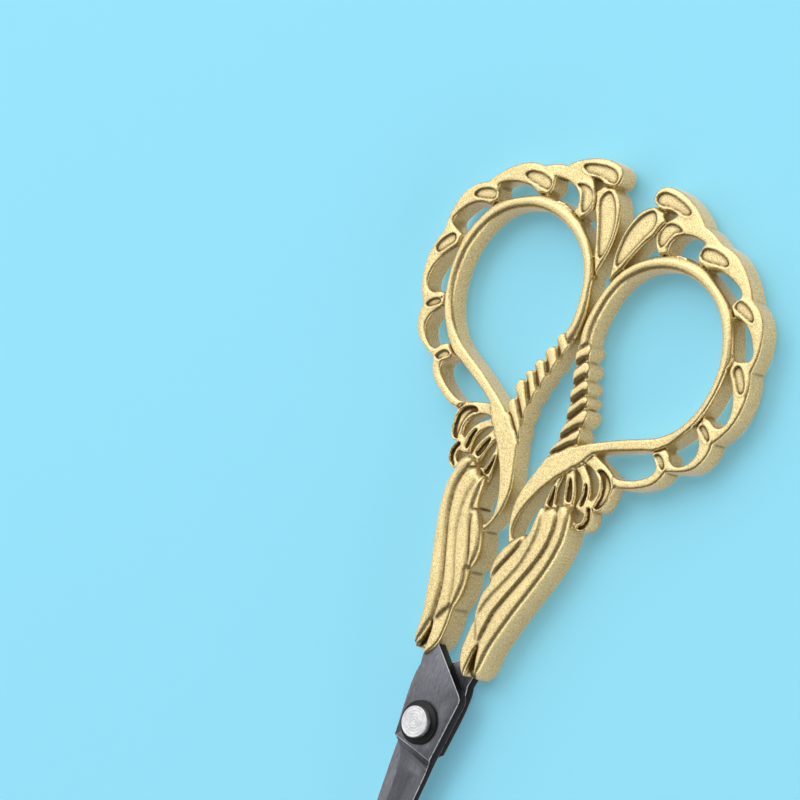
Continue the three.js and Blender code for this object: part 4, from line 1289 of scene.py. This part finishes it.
def turned(name: str, profile: Points) -> bpy.types.Object:
    """Turns a profile round the pivot axis.

    Args:
        name: the piece's name.
        profile: its [radius, height] points from the axis out and back to the axis, or a closed ring of them.

    Returns:
        The turned piece.
    """
    rows = place([[radius, 0, height] for radius, height in profile])
    mesh = bpy.data.meshes.new(name)
    mesh.from_pydata(rows.tolist(), [[k, k + 1] for k in range(len(rows) - 1)], [])
    piece = bpy.data.objects.new(name, mesh)
    bpy.context.scene.collection.objects.link(piece)
    with editing(piece, "VERT"):
        bpy.ops.mesh.spin(steps=TURN_STEPS, angle=math.tau, center=PIVOT, axis=(0, 0, 1))
        bpy.ops.mesh.select_all(action="SELECT")
        bpy.ops.mesh.remove_doubles(threshold=MERGE_DISTANCE)
        bpy.ops.mesh.normals_make_consistent(inside=False)
    return piece


@dataclass
class Casting:
    """One gold handle. The left one is the mirror image of the right one."""

    side: Side
    finish: bpy.types.Material

    def build(self, skin: Skin) -> bpy.types.Object:
        """Makes the handle.

        Args:
            skin: the right handle's points in millimetres, faces and marks.

        Returns:
            The handle.
        """
        points, faces, marks = skin
        name = self.side.name.lower()
        mirrored = faces[:, ::-1] if self.side is Side.LEFT else faces
        piece = mesh_object(f"{name}_casting", place(points * [self.side.value, 1, 1]), mirrored)
        for label, values in marks.items():
            paint_points(piece, label, values)
        piece.data.materials.append(self.finish)
        only(piece)
        bpy.ops.object.shade_smooth()
        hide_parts(f"{name}_handle")
        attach(piece, f"{name}_half")
        return piece


@dataclass
class Blade:
    """One blade, shaped as the front blade and turned half round Y for the rear. Sizes in millimetres."""

    side: Side
    finish: bpy.types.Material
    thickness: float = 1.7
    gap: float = 0.3
    spacing: float = 0.8
    spine_thickness: float = 1.25
    edge_thickness: float = 0.35
    tip_thickness: float = 0.75
    grind_start: float = 3.5
    grind_slant: float = 0.1
    grind_run: float = 3.0
    grind_curve: float = 2.4
    grind_steps: int = 9
    grind_reach: float = 7.0
    grind_end: float = -60.0
    clearance: float = 0.02
    hone_width: float = 3.0
    hone_height: float = 1.0
    hone_inward: float = 0.9
    hone_past_tip: float = 0.4
    hone_overrun: float = 1.5
    hone_angle: float = 24.0
    hone_land: float = 0.09
    bore: float = 1.58
    bore_length: float = 6.0
    bore_faces: int = 72
    rounding: float = 0.1
    rounding_faces: int = 3
    keen_width: float = 1.2

    def plate(self) -> bpy.types.Object:
        """The flat plate, with its end running on into the casting.

        Returns:
            The plate.
        """
        runs = [[HIDDEN_END[0], SHOULDER_RIGHT[0]], SHOULDER_RIGHT[:3], SHOULDER_RIGHT[2:], SPINE_LINE,
                EDGE_LINE, SHOULDER_LEFT, [SHOULDER_LEFT[-1], NECK, HIDDEN_END[1]], HIDDEN_END[::-1]]
        outline = chain(runs, self.spacing)
        flat = np.column_stack([outline, np.full(len(outline), self.gap / 2)])
        piece = mesh_object("blade", place(flat), np.arange(len(flat))[None, :])
        with editing(piece):
            bpy.ops.mesh.extrude_region_move(TRANSFORM_OT_translate={"value": (0, 0, self.thickness * MM)})
            bpy.ops.mesh.select_all(action="SELECT")
            bpy.ops.mesh.normals_make_consistent(inside=False)
        return piece

    def ground_height(self, x: float, y: float) -> float:
        """The height of the ground face, which is flat between the spine, the heel and the tip.

        Args:
            x: a place across the blade.
            y: a place along it.

        Returns:
            The height above the inner face there.
        """
        rows = np.array([[*SPINE_LINE[0], 1], [*EDGE_HEEL, 1], [0, SPINE_LINE[-1][1], 1]], float)
        fall = np.linalg.solve(rows, [self.spine_thickness, self.edge_thickness, self.tip_thickness])
        return float(fall @ [x, y, 1])

    def grinding_block(self) -> bpy.types.Object:
        """The block that grinding takes away, with a hollow run-out at its upper end.

        Returns:
            The block, which stands well above the plate and past its sides and point.
        """
        rings = []
        end = self.grind_end
        for x in (-self.grind_reach, self.grind_reach):
            start = -self.grind_start - self.grind_slant * x
            ring = [[x, start, self.thickness + 2]]
            for share in np.linspace(0, 1, self.grind_steps):
                y = start - share * self.grind_run
                floor = self.ground_height(x, y)
                rise = (1 - share) ** self.grind_curve
                ring.append([x, y, floor + rise * (self.thickness - floor + self.clearance)])
            ring += [[x, end, self.ground_height(x, end)], [x, end, self.thickness + 4]]
            rings.append(ring)
        count = len(rings[0])
        points = np.array(rings[0] + rings[1]) + [0, 0, self.gap / 2]
        sides = [[k, (k + 1) % count, count + (k + 1) % count, count + k] for k in range(count)]
        block = mesh_object("grinding", place(points), np.array(sides))
        with editing(block, "EDGE"):
            bpy.ops.mesh.select_all(action="DESELECT")
            bpy.ops.mesh.select_non_manifold(extend=False)
            bpy.ops.mesh.edge_face_add()
            bpy.ops.mesh.select_all(action="SELECT")
            bpy.ops.mesh.normals_make_consistent(inside=False)
        return block

    def honing_block(self) -> bpy.types.Object:
        """The slim block that takes the cutting edge down to a fine bevel.

        Returns:
            The block, laid along the cutting edge and tilted to the angle of the bevel.
        """
        upper, lower = np.array(EDGE_HEEL), np.array(EDGE_LINE[0])
        run = upper - lower
        turn = math.atan2(-run[0], run[1])
        bpy.ops.object.select_all(action="DESELECT")
        bpy.ops.mesh.primitive_cube_add(size=1, location=(0, 0, 0))
        block = bpy.context.active_object
        length = float(np.hypot(*run)) + self.hone_overrun
        size = (self.hone_width * MM, length * MM, self.hone_height * MM, 1)
        middle = (-self.hone_inward * MM, length / 2 * MM - self.hone_past_tip * MM,
                  self.hone_height / 2 * MM)
        tip = place([lower[0], lower[1], self.gap / 2 + self.hone_land])
        for step in (Matrix.Diagonal(size), Matrix.Translation(middle),
                     Matrix.Rotation(math.radians(-self.hone_angle), 4, "Y"), Matrix.Rotation(turn, 4, "Z"),
                     Matrix.Translation(tip)):
            block.data.transform(step)
        return block

    def keen(self, middle: Vector) -> bool:
        """Whether a place on the front blade lies along its cutting edge or at its point, which stay sharp.

        Args:
            middle: the place, in metres in the frame.

        Returns:
            True where it does.
        """
        x, y = (middle - PIVOT).xy / MM
        line = np.array(EDGE_LINE)
        return bool(y < line[-1][1] and x - np.interp(y, line[:, 1], line[:, 0]) < self.keen_width)

    def build(self) -> bpy.types.Object:
        """Makes the blade.

        Returns:
            The blade.
        """
        piece = self.plate()
        cut_away(piece, self.grinding_block())
        cut_away(piece, self.honing_block())
        bpy.ops.object.select_all(action="DESELECT")
        bpy.ops.mesh.primitive_cylinder_add(vertices=self.bore_faces, radius=self.bore * MM,
                                            depth=self.bore_length * MM, location=PIVOT + Vector((0, 0, MM)))
        cut_away(piece, bpy.context.active_object)
        piece.data.materials.append(self.finish)
        round_edges(piece, self.rounding, self.rounding_faces, self.keen)
        if self.side is Side.RIGHT:
            half_turn = Matrix.Rotation(math.pi, 4, "Y")
            piece.data.transform(Matrix.Translation(PIVOT) @ half_turn @ Matrix.Translation(-PIVOT))
        name = "front" if self.side is Side.LEFT else "rear"
        piece.name = f"{name}_steel"
        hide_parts(f"{name}_blade")
        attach(piece, f"{self.side.name.lower()}_half")
        return piece


@dataclass
class Rivet:
    """The turned rivet that holds the blades, with tool rings on its head. Sizes in millimetres."""

    finish: bpy.types.Material
    shaft: float = 1.5
    head: float = 2.275
    head_low: float = 2.4
    head_high: float = 3.25
    tail: float = 2.15
    tail_high: float = -1.95
    tail_low: float = -2.35
    corner: float = 0.12
    corner_faces: int = 4
    ring_pitch: float = 0.42
    ring_depth: float = 0.022
    ring_faces: int = 6

    def rings(self, rim: float, top: float) -> Points:
        """The face of the head or tail from its rim in to the axis, with shallow rings cut in it.

        Args:
            rim: the radius that it starts from.
            top: its height, above 0 for the head and below 0 for the tail.

        Returns:
            Its [radius, height] points.
        """
        steps = int(rim / self.ring_pitch * self.ring_faces)
        radii = np.linspace(rim, 0, steps + 1)
        waves = 0.5 - 0.5 * np.cos(radii / self.ring_pitch * math.tau)
        depth = self.ring_depth * math.copysign(1, top)
        return [[float(r), float(top - depth * w)] for r, w in zip(radii, waves)]

    def corner_points(self, radius: float, top: float) -> Points:
        """The rounded rim between a side and a face.

        Args:
            radius: the radius of the side.
            top: the height of the face, above 0 for the head and below 0 for the tail.

        Returns:
            Its [radius, height] points.
        """
        inward = math.copysign(self.corner, top)
        turns = np.linspace(0, math.pi / 2, self.corner_faces + 1)[:-1]
        return [[radius - self.corner * (1 - math.cos(t)), top - inward * (1 - math.sin(t))] for t in turns]

    def face(self, radius: float, top: float) -> Points:
        """The head or the tail from its side round the rim and in to the axis."""
        return [*self.corner_points(radius, top), *self.rings(radius - self.corner, top)]

    def build(self) -> bpy.types.Object:
        """Makes the rivet.

        Returns:
            The rivet.
        """
        profile = [*self.face(self.tail, self.tail_low)[::-1], [self.tail, self.tail_high],
                   [self.shaft, self.tail_high], [self.shaft, self.head_low], [self.head, self.head_low],
                   *self.face(self.head, self.head_high)]
        piece = turned("turned_rivet", profile)
        piece.data.materials.append(self.finish)
        only(piece)
        bpy.ops.object.shade_smooth_by_angle(angle=SMOOTH_ANGLE)
        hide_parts("pivot_rivet")
        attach(piece, "right_half")
        return piece


@dataclass
class Washer:
    """The washer under the rivet's head, in very dark paint, whose ring also stands in for the head's contact
    shadow.
    Sizes in millimetres.
    """

    finish: bpy.types.Material
    inner: float = 1.58
    outer: float = 3.15
    low: float = 1.95
    high: float = 2.3
    rounding: float = 0.08
    rounding_faces: int = 2

    def build(self) -> bpy.types.Object:
        """Makes the washer.

        Returns:
            The washer.
        """
        ring = [[self.inner, self.low], [self.outer, self.low], [self.outer, self.high],
                [self.inner, self.high], [self.inner, self.low]]
        piece = turned("flat_washer", ring)
        piece.data.materials.append(self.finish)
        round_edges(piece, self.rounding, self.rounding_faces)
        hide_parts("pivot_washer")
        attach(piece, "right_half")
        return piece


@dataclass(frozen=True)
class Panel:
    """A soft light: its name, its place and size in metres, and its power in watts."""

    name: str
    spot: Triple
    size: tuple[float, float]
    power: float


@dataclass
class Studio:
    """The floor, the lights and the camera. Distances in metres, angles in degrees."""

    floor_size: float = 6.0
    floor_drop: float = 0.00005
    floor_roughness: float = 0.9
    floor_color: Color = (0.322, 0.792, 0.99, 1)
    floor_bounce: Color = (0.86, 0.95, 1.0, 1)
    floor_mirrored: Color = (0.93, 0.97, 1.0, 1)
    mirrored_share: float = 0.35
    seen_share: float = 0.3
    sky_color: Color = (0.97, 0.99, 1.0, 1)
    sky_strength: float = 0.06
    panels: tuple[Panel, ...] = (Panel("window", (-1.2, -0.2, 0.95), (2.0, 2.2), 17.5),
                                 Panel("main", (-0.4, 1.0, 1.15), (2.1, 2.1), 27.0),
                                 Panel("fill", (1.25, -0.2, 0.27), (2.6, 0.45), 11.0))
    aim: Triple = (-0.026637, 0.019276, 0.0026)
    distance: float = 0.626921
    azimuth: float = 9.925
    elevation: float = 50.895
    roll: float = -75.779
    lens: float = 195.31
    sensor: float = 36.0
    nearest_seen: float = 0.01

    def floor_finish(self) -> bpy.types.Material:
        """The floor's matt finish. Part of its tone doesn't depend on the light, for the camera and in gloss.

        Returns:
            The material.
        """
        material, graph, shader = start_finish("pale_floor", 0.0)
        rays = graph.add("LightPath").outputs
        seen, mirrored = rays["Is Camera Ray"], rays["Is Glossy Ray"]
        graph.give(shader, {
            "Base Color": graph.mixed(seen, self.floor_bounce, self.floor_color),
            "Roughness": self.floor_roughness,
            "Specular IOR Level": 0.0,
        })
        tone = graph.mixed(seen, self.floor_mirrored, self.floor_color)
        even = graph.add("Emission", {"Color": tone, "Strength": 1.0}).outputs[0]
        share = graph.plus(graph.times(seen, self.seen_share), graph.times(mirrored, self.mirrored_share))
        both = graph.add("MixShader", {0: share, 1: shader.outputs[0], 2: even}).outputs[0]
        graph.give(material.node_tree.nodes["Material Output"], {"Surface": both})
        return material

    def lay_floor(self) -> bpy.types.Object:
        """The plain pale floor that the scissors lie on.

        Returns:
            The floor.
        """
        bpy.ops.object.select_all(action="DESELECT")
        bpy.ops.mesh.primitive_plane_add(size=self.floor_size, location=(0, 0, -self.floor_drop))
        floor = bpy.context.active_object
        floor.name = "floor"
        floor.data.materials.append(self.floor_finish())
        return floor

    def light(self) -> None:
        """Soft light from large panels and an even sky."""
        world = bpy.data.worlds.new("studio")
        world.use_nodes = True
        sky = world.node_tree.nodes["Background"]
        sky.inputs["Color"].default_value = self.sky_color
        sky.inputs["Strength"].default_value = self.sky_strength
        bpy.context.scene.world = world
        for panel in self.panels:
            light = bpy.data.lights.new(panel.name, "AREA")
            light.shape = "RECTANGLE"
            light.size, light.size_y = panel.size
            light.energy = panel.power
            lamp = bpy.data.objects.new(panel.name, light)
            toward_object = Vector(panel.spot).to_track_quat("Z", "Y").to_matrix().to_4x4()
            lamp.matrix_world = Matrix.Translation(panel.spot) @ toward_object
            bpy.context.scene.collection.objects.link(lamp)

    def set_camera(self) -> None:
        """The camera of the photograph."""
        azimuth, elevation, roll = (math.radians(turn) for turn in (self.azimuth, self.elevation, self.roll))
        back = Vector((math.cos(elevation) * math.cos(azimuth), math.cos(elevation) * math.sin(azimuth),
                       math.sin(elevation)))
        level = Vector((0, 0, 1)).cross(back).normalized()
        up = back.cross(level) * math.cos(roll) - level * math.sin(roll)
        turn = Matrix((up.cross(back), up, back)).transposed().to_4x4()
        data = bpy.data.cameras.new("photo")
        data.lens = self.lens
        data.sensor_width = self.sensor
        data.clip_start = self.nearest_seen
        camera = bpy.data.objects.new("photo", data)
        camera.matrix_world = Matrix.Translation(Vector(self.aim) + back * self.distance) @ turn
        bpy.context.scene.collection.objects.link(camera)
        bpy.context.scene.camera = camera


def main() -> None:
    """Builds the scissors and the studio."""
    logging.basicConfig(level=logging.INFO, format="%(message)s")
    bpy.context.scene.view_settings.view_transform = "Standard"
    studio = Studio()
    studio.lay_floor()
    studio.light()
    studio.set_camera()

    effects = Effects(cast_grain(), brush_marks(), edge_wear_and_highlight())
    gold = GoldPaint().material(effects)
    steel = DarkSteel().material(effects)
    skin = CastRelief().cast()
    pieces = [Casting(side, gold).build(skin) for side in Side]
    pieces += [Blade(side, steel).build() for side in Side]
    pieces.append(Rivet(BrightSteel().material(effects)).build())
    pieces.append(Washer(BlackPaintAndShade().material(effects)).build())
    for piece in pieces:
        log.info("%s: %d faces", piece.name, len(piece.data.polygons))


if __name__ == "__main__":
    main()
